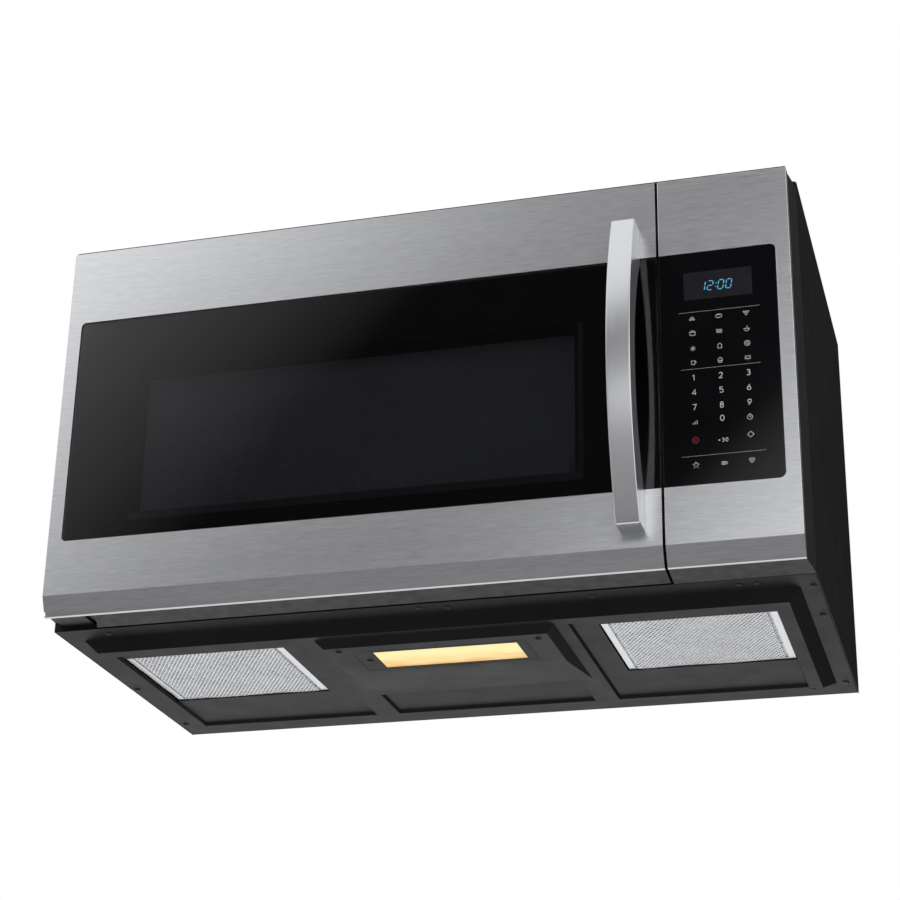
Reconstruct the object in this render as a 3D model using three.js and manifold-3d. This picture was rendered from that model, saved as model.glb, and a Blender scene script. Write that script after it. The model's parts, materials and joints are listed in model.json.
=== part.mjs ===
// Over-the-range microwave oven with a range hood below, built piece by piece.
// Millimetres. +X is to the right of someone facing the oven, -Y is out of the wall towards them, +Z is up.
// The origin is on the wall, midway across the back plate, at the height of the hanging line.
// Inside this file every piece is drawn in the body's own datum: x from mid width, y from the steel front
// backwards, z from the underside of the bottom flange. The last lines shift that datum to the origin.
import * as THREE from 'three';
import { mergeVertices } from 'three/addons/utils/BufferGeometryUtils.js';
import { ConvexGeometry } from 'three/addons/geometries/ConvexGeometry.js';
import Module from 'manifold-3d';

const wasm = await Module();
wasm.setup();

// ---------------------------------------------------------------- overall sizes
const CASE_W = 759;
const CASE_H = 413.2;
const BODY_DEPTH = 415;
const HANG_HEIGHT = 60;
const SHEET = 1;
const GAP = 0.3;
const PAST = 5;

// ---------------------------------------------------------------- front assembly
const FRONT_DEPTH = 43.2;
const FACE_INSET = 5.1;
const FACE_TOP_DROP = 7.6;
const FACE_BOTTOM = 3.5;
const CHAMFER_TOP = 22.8;
const CHAMFER_BACK = 8.5;
const RETURN_DEPTH = 12;
const DOOR_STANDOFF = 3.6;
const SPLIT_FROM_RIGHT = 133;
const SPLIT_GAP = 2.6;
const GLASS_BOTTOM = 79.8;
const GLASS_TOP_DROP = 90.6;
const GLASS_THICK = 3.2;
const DOOR_GLASS_MARGIN = 14.7;
const PANEL_GLASS_MARGIN = 14;
const DOOR_GLASS_RADIUS = 5;
const PANEL_GLASS_RADIUS = 10;
const GLASS_SEAM_RADIUS = 1;
const CHAMFER_OFFSET = 0.6;
const UNDER_FALL = 0.4;
const FRAME_FLARE = 2.1;
const FRAME_DROP = 0.2;
const NECK_EDGE = 4;
const NECK_RISE = 2;

// ---------------------------------------------------------------- oven cavity
const CAVITY_FROM_LEFT = 45;
const CAVITY_TO_SPLIT = 41;
const CAVITY_HEADROOM = 11;
const CAVITY_REAR_GAP = 23.8;
const CAVITY_FLOOR = 76;
const CAVITY_RADIUS = 16;
const LOWER_DECK = 52;
const TOP_DUCT_H = 84.2;
const SIDE_DUCT_W = 32;
const SIDE_DUCT_D = 150;

// ---------------------------------------------------------------- microwave feed and cavity lamp
const GUIDE_Y0 = 150;
const GUIDE_L = 100;
const GUIDE_H = 80;
const GUIDE_FROM_ROOF = 48;
const GUIDE_DEEP = 26;
const GUIDE_WALL = 1.5;
const GUIDE_MOUTH = 50;
const GUIDE_MOUTH_EDGE = 4;
const MICA_THICK = 0.6;
const MICA_LAP = 10;
const ANTENNA_R = 9;
const ANTENNA_CLEAR = 3;
const ANTENNA_FROM_END = 24;
const ANTENNA_SHORT = 5;
const MAGNETRON_L = 72;
const MOUNT_THICK = 3;
const MOUNT_EDGE_Y = 8;
const MOUNT_EDGE_Z = 3;
const YOKE_HALF_Y = 34;
const YOKE_HALF_Z = 27;
const YOKE_THICK = 2;
const ANODE_R = 17;
const MAGNET_THICK = 11;
const FINS = 5;
const FIN_START = 20;
const FIN_PITCH = 7.5;
const FIN_THICK = 1;
const FILTER_BOX_L = 20;
const FILTER_BOX_HALF_Y = 24;
const FILTER_BOX_HALF_Z = 18;
const CAVITY_LAMP_FROM_WALL = 85;
const CAVITY_LAMP_FROM_ROOF = 68;
const LAMP_HOLE_R = 2;
const LAMP_HOLE_PITCH = 7;
const LAMP_HOLE_ROWS = 3;
const LAMP_HOLE_COLUMNS = 5;
const LAMP_PLATE_THICK = 2;
const LAMP_PLATE_HALF_Y = 24;
const LAMP_PLATE_HALF_Z = 16;
const LAMP_SOCKET_R = 12;
const LAMP_SOCKET_END_R = 9;
const LAMP_SOCKET_L = 34;
const THERMOSTAT_R = 8;
const THERMOSTAT_H = 5;
const THERMOSTAT_CLEAR = 1.2;
const THERMOSTAT_TAB_AT = 4;
const THERMOSTAT_TAB_HALF = 3;
const THERMOSTAT_FROM_SIDE = 150;
const THERMOSTAT_FROM_BACK = 91.2;
const THERMOSTAT_FROM_FRONT = 136.8;

// ---------------------------------------------------------------- power parts and cooling fan
const TRANSFORMER_FROM_RIGHT = 64.5;
const TRANSFORMER_Y = 130;
const CORE_HALF_X = 48;
const CORE_HALF_Y = 27;
const CORE_H = 78;
const CORE_FOOT = 3;
const CORE_FOOT_X = 2;
const CORE_FOOT_Y = 6;
const WINDING_HALF_X = 30;
const WINDING_HALF_Y = 50;
const WINDING_H = 52;
const TERMINAL_HALF_X = 18;
const TERMINAL_HALF_Y = 20;
const TERMINAL_H = 8;
const CAN_ASIDE = 12;
const CAN_BEHIND = 95;
const CAN_STRAIGHT = 36;
const CAN_R = 17;
const CAN_H = 88;
const CAN_TAB_AT = 20;
const CAN_TAB_THICK = 2;
const CAN_TAB_HALF = 3;
const CAN_TAB_H = 10;
const DIODE_ASIDE = 9;
const DIODE_BEHIND = 11;
const DIODE_HALF_X = 7;
const DIODE_HALF_Y = 6;
const DIODE_H = 22;
const DIODE_POST_R = 2.5;
const DIODE_POST_H = 8;
const LINE_BOARD_FROM_RIGHT = 56.5;
const LINE_BOARD_W = 50;
const LINE_BOARD_H = 26;
const LINE_BOARD_DROP = 3;
const LINE_BOARD_THICK = 2;
const LINE_PART_EDGE = 4;
const CHOKE_L = 20;
const CHOKE_DEEP = 18;
const CAP_R = 8;
const CAP_DEEP = 14;
const FAN_FROM_RIGHT = 79.5;
const FAN_FROM_DECK = 114;
const FAN_DEPTH = 57;
const FAN_R = 50;
const FAN_FRAME = 12;
const FAN_WALL = 3;
const FAN_FACE = 14;
const FAN_BAR_SET = 2;
const FAN_BAR_HALF = 8;
const FAN_SHAFT_R = 2;
const FAN_SHAFT_SHORT = 2;
const FAN_SHAFT_IN = 6;
const FAN_CORE_HALF = 28;
const FAN_CORE_D = 22;
const FAN_CORE_LOW = 10;
const FAN_CORE_HIGH = 24;
const FAN_COIL_HALF = 14;
const FAN_COIL_D = 30;
const FAN_COIL_LOW = 30;
const FAN_COIL_HIGH = 8;
const FAN_HUB_R = 14;
const FAN_HUB_L = 22;
const FAN_BLADES = 5;
const FAN_BLADE_W = 24;
const FAN_BLADE_THICK = 2;
const FAN_BLADE_ROOT = 4;
const FAN_BLADE_TWIST = 0.6;

// ---------------------------------------------------------------- underside
const PAN_MARGIN_X = 19;
const PAN_FRONT = 74.5;
const PAN_REAR_GAP = 40;
const PAN_DROP = 12;
const PAN_SIDE_RUN = 12;
const PAN_FRONT_RUN = 7;
const PAN_REAR_RUN = 25;
const RECESS_RISE = 3;
const RECESS_RUN = 2;
const RECESS_SIDE_EDGE = 13.5;
const RECESS_FRONT_EDGE = 15.5;
const RECESS_REAR_EDGE = 5;
const LAMP_BOX_HALF = 121.5;
const LAMP_BOX_GAP = 13;
const LAMP_BOX_RUN = 8;
const LAMP_BOX_SETBACK = 10.5;
const LAMP_BOX_FRONT_RUN = 6;
const LAMP_BOX_FLAT_BEHIND = 13;
const LAMP_BOX_FALL = 86;
const LAMP_BOX_DROP = 19.5;
const MID_RECESS_GAP = 25.5;
const MID_RECESS_SETBACK = 6;

// ---------------------------------------------------------------- filters, vent grille and cooktop lamp
const FILTER_D = 147;
const FILTER_OUTER_EDGE = 2.2;
const FILTER_INNER_EDGE = 27.9;
const FILTER_FRONT_EDGE = 16;
const FILTER_LAP = 4;
const FILTER_SIDE_CLEAR = 1.2;
const FILTER_THICK = 8;
const FILTER_RAIL = 7;
const FILTER_MESH_INSET = 1.2;
const LAMP_COVER_SIDE_EDGE = 25.5;
const LAMP_COVER_FRONT_EDGE = 15;
const LAMP_COVER_D = 58;
const LAMP_COVER_THICK = 2;
const LAMP_COVER_CLIP = 5;
const LENS_SIDE_EDGE = 14.8;
const LENS_SHIFT = 5;
const LENS_FRONT_EDGE = 5.5;
const LENS_REAR_EDGE = 4.5;
const LENS_THICK = 3;
const LENS_FLANGE = 3;
const LENS_WALL = 2;
const LAMP_BOARD_EDGE = 8;
const LAMP_BOARD_THICK = 1.6;
const LED_SIZE = 5;
const LED_MARGIN = 25.2;
const LEDS = 4;
const GRILLE_FRONT = 3;
const GRILLE_REAR_EDGE = 4;
const GRILLE_FRONT_DROP = 4.8;
const GRILLE_END_MARGIN = 20;
const GRILLE_UNDER_CLEAR = 0.8;
const GRILLE_THICK = 2;
const GRILLE_SLOTS = 26;
const GRILLE_SLOT_W = 22;
const GRILLE_SLOT_SETBACK = 3.8;
const GRILLE_SLOT_D = 14;
const CHARCOAL_HALF = 185;
const CHARCOAL_SETBACK = 3;
const CHARCOAL_THICK = 12;
const CHARCOAL_RIM = 5;
const CHARCOAL_DISH = 1.5;

// ---------------------------------------------------------------- vent blower
const BLOWER_FROM_WALL = 93;
const BLOWER_HEADROOM = 9;
const BLOWER_WALL = 1.5;
const BLOWER_TIP_CLEAR = 3.95;
const BLOWER_THROAT = 12;
const BLOWER_INLET_LIP = 6;
const BLOWER_RIM = 5;
const BLOWER_RIM_W = 2;
const BLOWER_HUB_R = 7;
const BLOWER_HUB_L = 16;
const BLADE_THICK = 1.2;
const BLADE_DEEP = 4.2;
const BLOWER_HALF = 150;
const BLOWER_END_ROOM = 40.5;
const BLOWER_MOTOR_CLEAR = 4;
const BLOWER_FOOT_W = 40;
const BLOWER_FOOT_D = 6;
const BLOWER_FOOT_FRONT = 26;
const BLOWER_FOOT_REAR = 8;
const BLOWER_SHAFT_END = 12;
const BLOWER_MOTOR_HALF = 32;
const BLOWER_BLADES = 14;
const BLOWER_SHAFT_R = 3;
const RUNNING = 3;

// ---------------------------------------------------------------- turntable
const TRAY_WALL_GAP = 15;
const TRAY_THICK = 5;
const TRAY_RIM = 12;
const TRAY_FLARE = 14;
const TRAY_EDGE = 4;
const ROLLER_R = 7;
const ROLLER_W = 6;
const ROLLER_AT = 104;
const ROLLERS = 3;
const RING_WIDTH = 9;
const RING_THICK = 4;
const AXLE_R = 1.6;
const AXLE_RUNNING = 0.3;
const AXLE_SPARE = 6;
const COUPLER_R = 13;
const COUPLER_HUB_R = 9;
const COUPLER_ARM_W = 5;
const COUPLER_ARM_H = 6;
const LUG_L = 9;
const LUG_W = 3;
const LUG_DROP = 5;
const LUG_OUT = 8;
const COUPLER_ARMS = 3;
const COUPLER_LAP = 2;
const SHAFT_R = 3.5;
const SHAFT_CLEAR = 0.1;
const SHAFT_HOLE_CLEAR = 2;
const TURN_MOTOR_HALF = 25;
const TURN_MOTOR_H = 17;
const TURN_MOTOR_EAR = 8;
const TURN_MOTOR_EAR_W = 12;
const TURN_MOTOR_BORE = 10;
const TURN_MOTOR_EAR_THICK = 2;
const TURN_MOTOR_HOLE_CLEAR = 3;

// ---------------------------------------------------------------- door, hinge, latch and handle
const HINGE_X_FROM_LEFT = 14;
const HINGE_Y = 18;
const HINGE_PIN_R = 3;
const HINGE_BORE_CLEAR = 0.3;
const HINGE_PIN_REACH = 9;
const HINGE_PLATE = 2;
const HINGE_LEAF = 45;
const HINGE_LEAF_X0 = 10;
const HINGE_LEAF_X1 = 30;
const HINGE_SLOT_CLEAR = 0.6;
const HINGE_SWING_R = 40;
const HINGE_EYE = 5;
const HINGE_LEAF_THICK = 1.2;
const HINGE_ROOM_OUT = 26;
const HINGE_ROOM_IN = 4;
const HINGE_ROOM_FRONT = 8;
const NOTCH_SPARE = 2;
const NOTCH_FRONT = 2.5;
const FRAME_WALL = 3;
const HOLLOW_EDGE = 7;
const HOLLOW_FROM_HINGE = 44;
const HOLLOW_FROM_LATCH = 20;
const SCREEN_LEDGE = 8;
const SCREEN_MARGIN_X = 10;
const SCREEN_MARGIN_Z = 20;
const SCREEN_Y = 22.3;
const CHOKE_THICK = 2.3;
const CHOKE_RADIUS = 4;
const WINDOW_SIDE = 47;
const WINDOW_RISE = 37;
const WINDOW_DROP = 59;
const FRAME_WINDOW_EDGE = 8;
const INNER_GLASS_THICK = 2.2;
const INNER_GLASS_LAP = 9;
const LATCH_FROM_SPLIT = 17.5;
const LATCH_THICK = 5;
const LATCH_POCKET = 10;
const LATCH_BAR_SET = 3;
const LATCH_BAR_SHORT = 2;
const LATCH_END = 16;
const HOOK_LOW_RISE = 49;
const HOOK_HIGH_DROP = 23;
const HOOK_H = 10;
const HOOK_TO_LEVER = 4;
const HOOK_ROOT = 4;
const HOOK_NIB_BACK = 8;
const HOOK_NIB = 3;
const HANDLE_W = 23;
const HANDLE_FROM_SPLIT = 28.5;
const HANDLE_BOTTOM = 37;
const HANDLE_TOP_DROP = 59.2;
const HANDLE_END_DEPTH = 25;
const HANDLE_FRONT = 61;
const HANDLE_BACK = 35;
const HANDLE_PAD = 38;
const HANDLE_STEPS = 14;

// ---------------------------------------------------------------- latch body, interlock and control panel
const HOOK_ROOM = 12;
const LATCH_SLOT_HALF = 7;
const LATCH_BODY_HALF = 13;
const LATCH_BODY_D = 34;
const LATCH_BODY_END = 30;
const LATCH_BODY_WALL = 3;
const LATCH_BODY_RIB = 6;
const LEVER_SET = 25.5;
const LEVER_ASIDE = 9;
const LEVER_PAST = 5;
const LEVER_HALF = 7;
const LEVER_ROOM = 4;
const LEVER_PIN_R = 1.3;
const LEVER_PIN_REACH = 3;
const SPRING_L = 40;
const SPRING_R = 3.2;
const SWITCH_HALF = 14;
const SWITCH_LEFT = 8;
const SWITCH_RIGHT = 6;
const SWITCH_D = 16;
const SWITCH_TAB_HALF = 2.5;
const SWITCH_TAB_PITCH = 10;
const SWITCH_TAB_L = 7;
const PLUNGER_HALF = 2;
const PLUNGER_OUT = 4;
const PANEL_WALL = 3;
const PANEL_FACE = 8;
const PANEL_END_WALL = 12;
const DISPLAY_FROM_LEFT = 56.5;
const DISPLAY_FROM_TOP = 36.6;
const DISPLAY_W = 66;
const DISPLAY_H = 30;
const DISPLAY_D = 9;
const BOARD_RISE = 15.2;
const BOARD_DROP = 6;
const BOARD_THICK = 1.6;
const SMALL_TRANSFORMER = 31;
const SMALL_TRANSFORMER_D = 22;
const SMALL_TRANSFORMER_AT = [16.7, 15];
const RELAY_W = 18;
const RELAY_H = 16;
const RELAY_RISE = 23;
const RELAYS_FROM_SIDE = [60.7, 84.7];
const CHIP_AT = [36.7, 105];
const BUZZER_AT = [76.7, 70];
const CHIP = 18;
const CHIP_THICK = 4;
const BUZZER_R = 7;
const BUZZER_D = 24;
const PILLAR_EDGE = 7;
const PILLAR_R = 2.5;

// ---------------------------------------------------------------- derived places
const HALF = CASE_W / 2;
const fromLeft = (x) => x - HALF;
const INSIDE = HALF - SHEET - GAP;
const REAR_INSIDE = BODY_DEPTH - SHEET - GAP;
const fromRight = (x) => HALF - x;
const fromWall = (y) => BODY_DEPTH - y;
const fromTop = (z) => CASE_H - z;
const FACE_TOP = fromTop(FACE_TOP_DROP);
const GLASS_TOP = fromTop(GLASS_TOP_DROP);
const DOOR_BACK = FRONT_DEPTH - DOOR_STANDOFF;
const SPLIT_X = fromRight(SPLIT_FROM_RIGHT);
const DOOR_LEFT = -HALF + FACE_INSET;
const DOOR_RIGHT = SPLIT_X - SPLIT_GAP / 2;
const PANEL_LEFT = SPLIT_X + SPLIT_GAP / 2;
const PANEL_RIGHT = HALF - FACE_INSET;
const UPPER_DECK = fromTop(TOP_DUCT_H);
const CAVITY_X0 = fromLeft(CAVITY_FROM_LEFT);
const CAVITY_X1 = SPLIT_X - CAVITY_TO_SPLIT;
const CAVITY_X = (CAVITY_X0 + CAVITY_X1) / 2;
const CAVITY_Y0 = FRONT_DEPTH;
const CAVITY_Y1 = fromWall(CAVITY_REAR_GAP);
const CAVITY_Z1 = UPPER_DECK - CAVITY_HEADROOM;
const CAVITY_ROOF = CAVITY_Z1 + SHEET;
const BAY_LEFT = CAVITY_X1 + SHEET;
const BAY_FLOOR = LOWER_DECK + SHEET + GAP;
const CAVITY_HALF_D = (CAVITY_Y1 - CAVITY_Y0) / 2;
const TRAY_R = CAVITY_HALF_D - TRAY_WALL_GAP;
const TRAY_Y = CAVITY_Y0 + SHEET + CAVITY_HALF_D;
const FLANGE_BACK = FRONT_DEPTH + SHEET;
const DECK_FRONT = FLANGE_BACK + GAP;
const PAN_REAR = fromWall(PAN_REAR_GAP);
const PAN_FLAT_FRONT = PAN_FRONT + PAN_FRONT_RUN;
const RECESS_FRONT = PAN_FLAT_FRONT + RECESS_FRONT_EDGE;
const RECESS_REAR = PAN_REAR - PAN_REAR_RUN - RECESS_REAR_EDGE;
const SIDE_RECESS_OUTER = HALF - PAN_MARGIN_X - PAN_SIDE_RUN - RECESS_SIDE_EDGE;
const SIDE_RECESS_INNER = LAMP_BOX_HALF + LAMP_BOX_GAP;
const LAMP_BOX_FRONT = PAN_FLAT_FRONT + LAMP_BOX_SETBACK;
const LAMP_COVER_HALF = LAMP_BOX_HALF - LAMP_BOX_RUN - LAMP_COVER_SIDE_EDGE;
const LAMP_COVER_FRONT = LAMP_BOX_FRONT + LAMP_BOX_FRONT_RUN + LAMP_COVER_FRONT_EDGE;
const LAMP_COVER_REAR = LAMP_COVER_FRONT + LAMP_COVER_D;
const LAMP_BOX_FLAT_END = LAMP_COVER_REAR + LAMP_BOX_FLAT_BEHIND;
const LAMP_BOX_TAIL = LAMP_BOX_FLAT_END + LAMP_BOX_FALL;
const LENS_HALF = LAMP_COVER_HALF - LENS_SIDE_EDGE;
const LENS_FRONT = LAMP_COVER_FRONT + LENS_FRONT_EDGE;
const LENS_REAR = LAMP_COVER_REAR - LENS_REAR_EDGE;
const MID_RECESS_HALF = SIDE_RECESS_INNER - MID_RECESS_GAP;
const MID_RECESS_FRONT = LAMP_BOX_TAIL + MID_RECESS_SETBACK;
const FILTER_OUTER = SIDE_RECESS_OUTER - FILTER_OUTER_EDGE;
const FILTER_INNER = SIDE_RECESS_INNER + FILTER_INNER_EDGE;
const FILTER_FRONT = RECESS_FRONT + FILTER_FRONT_EDGE;
const FILTER_REAR = FILTER_FRONT + FILTER_D;
const GRILLE_SLOT_FRONT = FRONT_DEPTH + GRILLE_SLOT_SETBACK;
const GRILLE_SLOT_REAR = GRILLE_SLOT_FRONT + GRILLE_SLOT_D;
const CHARCOAL_FRONT = GRILLE_SLOT_REAR + CHARCOAL_SETBACK;
const GRILLE_REAR = CHARCOAL_FRONT + CHARCOAL_THICK + GRILLE_REAR_EDGE;
const HOOK_LOW = CAVITY_FLOOR + HOOK_LOW_RISE;
const HOOK_HIGH = CAVITY_Z1 - HOOK_HIGH_DROP;
const HANDLE_TOP = fromTop(HANDLE_TOP_DROP);

// ---------------------------------------------------------------- finishes
function finish(color, roughness, metalness) {
  return new THREE.MeshStandardMaterial({ color, roughness, metalness });
}
const BLACK_PAINT = [0x232428, 0.5, 0.2];
const STEEL = [0xb4b5b8, 0.32, 1];
const ZINC = [0x9a9ca0, 0.45, 0.9];
const ENAMEL = [0xbdbab2, 0.4, 0.1];
const BLACK_PLASTIC = [0x17181a, 0.55, 0];
const BLACK_GLASS = [0x0b0c0e, 0.08, 0];
const CLEAR_GLASS = [0xdde6e4, 0.05, 0];
const ALUMINIUM = [0xc9cbce, 0.35, 1];
const WHITE_PLASTIC = [0xe4e2dc, 0.5, 0];
const BOARD = [0x2e6b45, 0.6, 0];
const COPPER = [0x9c5a32, 0.4, 0.8];
const IRON = [0x55575a, 0.6, 0.7];
const CARBON = [0x2a2a2b, 0.95, 0];
const LENS = [0xffd98a, 0.3, 0];
const MICA = [0xc7bda8, 0.7, 0];

// ---------------------------------------------------------------- solid helpers
function solid(geometry) {
  const bare = new THREE.BufferGeometry();
  bare.setAttribute('position', geometry.getAttribute('position').clone());
  if (geometry.index) bare.setIndex(geometry.index.clone());
  const merged = mergeVertices(bare, 1e-4);
  const p = merged.getAttribute('position').array;
  const all = merged.index.array;
  const triangles = [];
  let volume = 0;
  for (let i = 0; i < all.length; i += 3) {
    const [a, b, c] = [all[i], all[i + 1], all[i + 2]];
    if (a === b || b === c || a === c) continue;
    triangles.push(a, b, c);
    const va = new THREE.Vector3().fromArray(p, 3 * a);
    const vb = new THREE.Vector3().fromArray(p, 3 * b);
    const vc = new THREE.Vector3().fromArray(p, 3 * c);
    volume += va.dot(vb.cross(vc));
  }
  if (volume < 0) triangles.reverse();
  const mesh = new wasm.Mesh({
    numProp: 3,
    vertProperties: new Float32Array(p),
    triVerts: new Uint32Array(triangles),
  });
  return new wasm.Manifold(mesh);
}

// Turns a shape drawn in the XY plane, and extruded along +Z, so that it runs along another axis.
const TURN = {
  x: new THREE.Matrix4().makeBasis(
    new THREE.Vector3(0, 1, 0), new THREE.Vector3(0, 0, 1), new THREE.Vector3(1, 0, 0)),
  y: new THREE.Matrix4().makeBasis(
    new THREE.Vector3(1, 0, 0), new THREE.Vector3(0, 0, 1), new THREE.Vector3(0, -1, 0)),
  z: new THREE.Matrix4(),
};

// An outline extruded along an axis: (y, z) points along x, (x, z) points along y, (x, y) points along z.
function prism(axis, outline, from, to, curveSegments = 5) {
  const drawn = outline instanceof THREE.Shape;
  const shape = drawn ? outline : new THREE.Shape(outline.map(([a, b]) => new THREE.Vector2(a, b)));
  const geometry = new THREE.ExtrudeGeometry(shape, { depth: to - from, bevelEnabled: false, curveSegments });
  geometry.applyMatrix4(TURN[axis]);
  const start = axis === 'y' ? to : from;
  const shift = { x: [start, 0, 0], y: [0, start, 0], z: [0, 0, start] }[axis];
  geometry.translate(...shift);
  return solid(geometry);
}

function box(x0, x1, y0, y1, z0, z1) {
  const geometry = new THREE.BoxGeometry(x1 - x0, y1 - y0, z1 - z0);
  geometry.translate((x0 + x1) / 2, (y0 + y1) / 2, (z0 + z1) / 2);
  return solid(geometry);
}

// A cylinder or cone along an axis, at the two other coordinates in x, y, z order.
function rod(axis, radius, from, to, at, sides = 24, endRadius = radius) {
  const geometry = new THREE.CylinderGeometry(endRadius, radius, to - from, sides);
  geometry.translate(0, (from + to) / 2, 0);
  if (axis === 'x') geometry.rotateZ(-Math.PI / 2);
  if (axis === 'z') geometry.rotateX(Math.PI / 2);
  const shift = { x: [0, at[0], at[1]], y: [at[0], 0, at[1]], z: [at[0], at[1], 0] }[axis];
  geometry.translate(...shift);
  return solid(geometry);
}

function tube(axis, outer, inner, from, to, at, sides = 32) {
  return rod(axis, outer, from, to, at, sides).subtract(rod(axis, inner, from - 1, to + 1, at, sides));
}

// A closed convex block through the given corners.
function block(corners) {
  return solid(new ConvexGeometry(corners.map((c) => new THREE.Vector3(...c))));
}

// A block between a rectangle at one height and another rectangle at another height.
function frustum(x0, x1, y0, y1, z, runs, zEnd) {
  const [left, right, front, rear] = runs;
  const corners = [];
  for (const x of [x0, x1]) for (const y of [y0, y1]) corners.push([x, y, z]);
  for (const x of [x0 + left, x1 - right]) {
    for (const y of [y0 + front, y1 - rear]) corners.push([x, y, zEnd]);
  }
  return block(corners);
}

function roundedRectangle(x0, x1, z0, z1, radii) {
  const [bl, br, tr, tl] = radii;
  const shape = new THREE.Shape();
  shape.moveTo(x0 + bl, z0);
  shape.lineTo(x1 - br, z0);
  shape.absarc(x1 - br, z0 + br, br, -Math.PI / 2, 0);
  shape.absarc(x1 - tr, z1 - tr, tr, 0, Math.PI / 2);
  shape.absarc(x0 + tl, z1 - tl, tl, Math.PI / 2, Math.PI);
  shape.absarc(x0 + bl, z0 + bl, bl, Math.PI, Math.PI * 1.5);
  return shape;
}

const body = new THREE.Group();

function piece(name, shape, look, parent = body) {
  const mesh = shape.getMesh();
  const geometry = new THREE.BufferGeometry();
  geometry.setAttribute('position', new THREE.BufferAttribute(new Float32Array(mesh.vertProperties), 3));
  geometry.setIndex(new THREE.BufferAttribute(new Uint32Array(mesh.triVerts), 1));
  geometry.computeVertexNormals();
  const part = new THREE.Mesh(geometry, finish(...look));
  part.name = name;
  parent.add(part);
  return part;
}

// ---------------------------------------------------------------- case: wrap, back plate, decks
const TOP_START = GRILLE_REAR + GAP;
const VENT_HOLE_HALF = 127;
const VENT_HOLE_FROM_WALL = 93;
const VENT_HOLE_D = 83;
const BOLT_HOLE_R = 4.5;
const BOLT_HOLE_X = 300;
const BOLT_HOLE_Y = 140;
const BOLT_COLLAR_R = 8;
const BOLT_COLLAR_H = 7;
const GLAND_X = fromRight(59.5);
const GLAND_Y = fromWall(30);
const GLAND_R = 11;
const GLAND_BORE = 5;
const GLAND_BELOW = 6;
const GLAND_ABOVE = 4;
const GLAND_RIM = 4;
const GLAND_RIM_TOP = 2;
const HOOK_SLOT_X = 250;
const HOOK_SLOT_W = 44;
const HOOK_SLOT_H = 10;
const HOOK_SLOT_Z = 24;

function outerCase() {
  let wrap = box(-HALF, HALF, FRONT_DEPTH, BODY_DEPTH, 0, CASE_H);
  wrap = wrap.subtract(box(-HALF + SHEET, HALF - SHEET, 0, BODY_DEPTH + PAST, -PAST, CASE_H - SHEET));
  wrap = wrap.subtract(box(-HALF + SHEET, HALF - SHEET, 0, TOP_START, 0, CASE_H + PAST));
  const ventFront = fromWall(VENT_HOLE_FROM_WALL);
  wrap = wrap.subtract(box(-VENT_HOLE_HALF, VENT_HOLE_HALF, ventFront, ventFront + VENT_HOLE_D,
    CASE_H - PAST, CASE_H + PAST));
  const collarZ = CASE_H - SHEET - BOLT_COLLAR_H;
  for (const side of [-1, 1]) {
    const at = [side * BOLT_HOLE_X, BOLT_HOLE_Y];
    wrap = wrap.add(rod('z', BOLT_COLLAR_R, collarZ, CASE_H - SHEET / 2, at));
    wrap = wrap.subtract(rod('z', BOLT_HOLE_R, collarZ - PAST, CASE_H + PAST, at));
  }
  wrap = wrap.subtract(rod('z', GLAND_R + GAP, CASE_H - PAST, CASE_H + PAST, [GLAND_X, GLAND_Y]));
  piece('outer_case', wrap, BLACK_PAINT);
}

function backPlate() {
  let plate = box(-INSIDE, INSIDE, BODY_DEPTH - SHEET, BODY_DEPTH, SHEET + GAP, CASE_H - SHEET - GAP);
  for (const side of [-1, 1]) {
    const x = side * HOOK_SLOT_X;
    const z = HOOK_SLOT_Z;
    plate = plate.subtract(box(x - HOOK_SLOT_W / 2, x + HOOK_SLOT_W / 2,
      BODY_DEPTH - PAST, BODY_DEPTH + PAST, z - HOOK_SLOT_H / 2, z + HOOK_SLOT_H / 2));
  }
  piece('back_plate', plate, ZINC);
}

// The lower deck's front edge steps forward and folds down, and closes the duct under the oven cavity.
function deckSkirt() {
  const behind = DECK_FRONT + SHEET;
  const step = box(-INSIDE, INSIDE, DECK_FRONT, behind, LOWER_DECK - SHEET, LOWER_DECK + SHEET);
  const shelf = box(-INSIDE, INSIDE, FRONT_DEPTH, behind, LOWER_DECK - SHEET, LOWER_DECK);
  const skirt = box(-INSIDE, INSIDE, FRONT_DEPTH, FLANGE_BACK, SHEET + GAP, LOWER_DECK);
  return step.add(shelf).add(skirt);
}

function deck(name, z, holes, material, fold) {
  let sheet = box(-INSIDE, INSIDE, DECK_FRONT, REAR_INSIDE, z, z + SHEET);
  if (fold) sheet = sheet.add(fold);
  for (const side of [-1, 1]) {
    const outer = side * (INSIDE - GAP);
    const inner = side * (INSIDE - SIDE_DUCT_W);
    sheet = sheet.subtract(box(Math.min(outer, inner), Math.max(outer, inner),
      REAR_INSIDE - SIDE_DUCT_D, REAR_INSIDE - PAST, z - PAST, z + PAST));
  }
  for (const hole of holes) sheet = sheet.subtract(hole);
  piece(name, sheet, material);
}

function cordGland() {
  const z = CASE_H - SHEET;
  const at = [GLAND_X, GLAND_Y];
  const top = CASE_H + GLAND_ABOVE;
  let gland = rod('z', GLAND_R, z - GLAND_BELOW, CASE_H + GAP, at, 20);
  gland = gland.add(rod('z', GLAND_R + GLAND_RIM, CASE_H + GAP, top, at, 20, GLAND_R + GLAND_RIM_TOP));
  gland = gland.subtract(rod('z', GLAND_BORE, z - PAST - GLAND_BELOW, top + PAST, at, 16));
  piece('cord_gland', gland, BLACK_PLASTIC);
}

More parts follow.
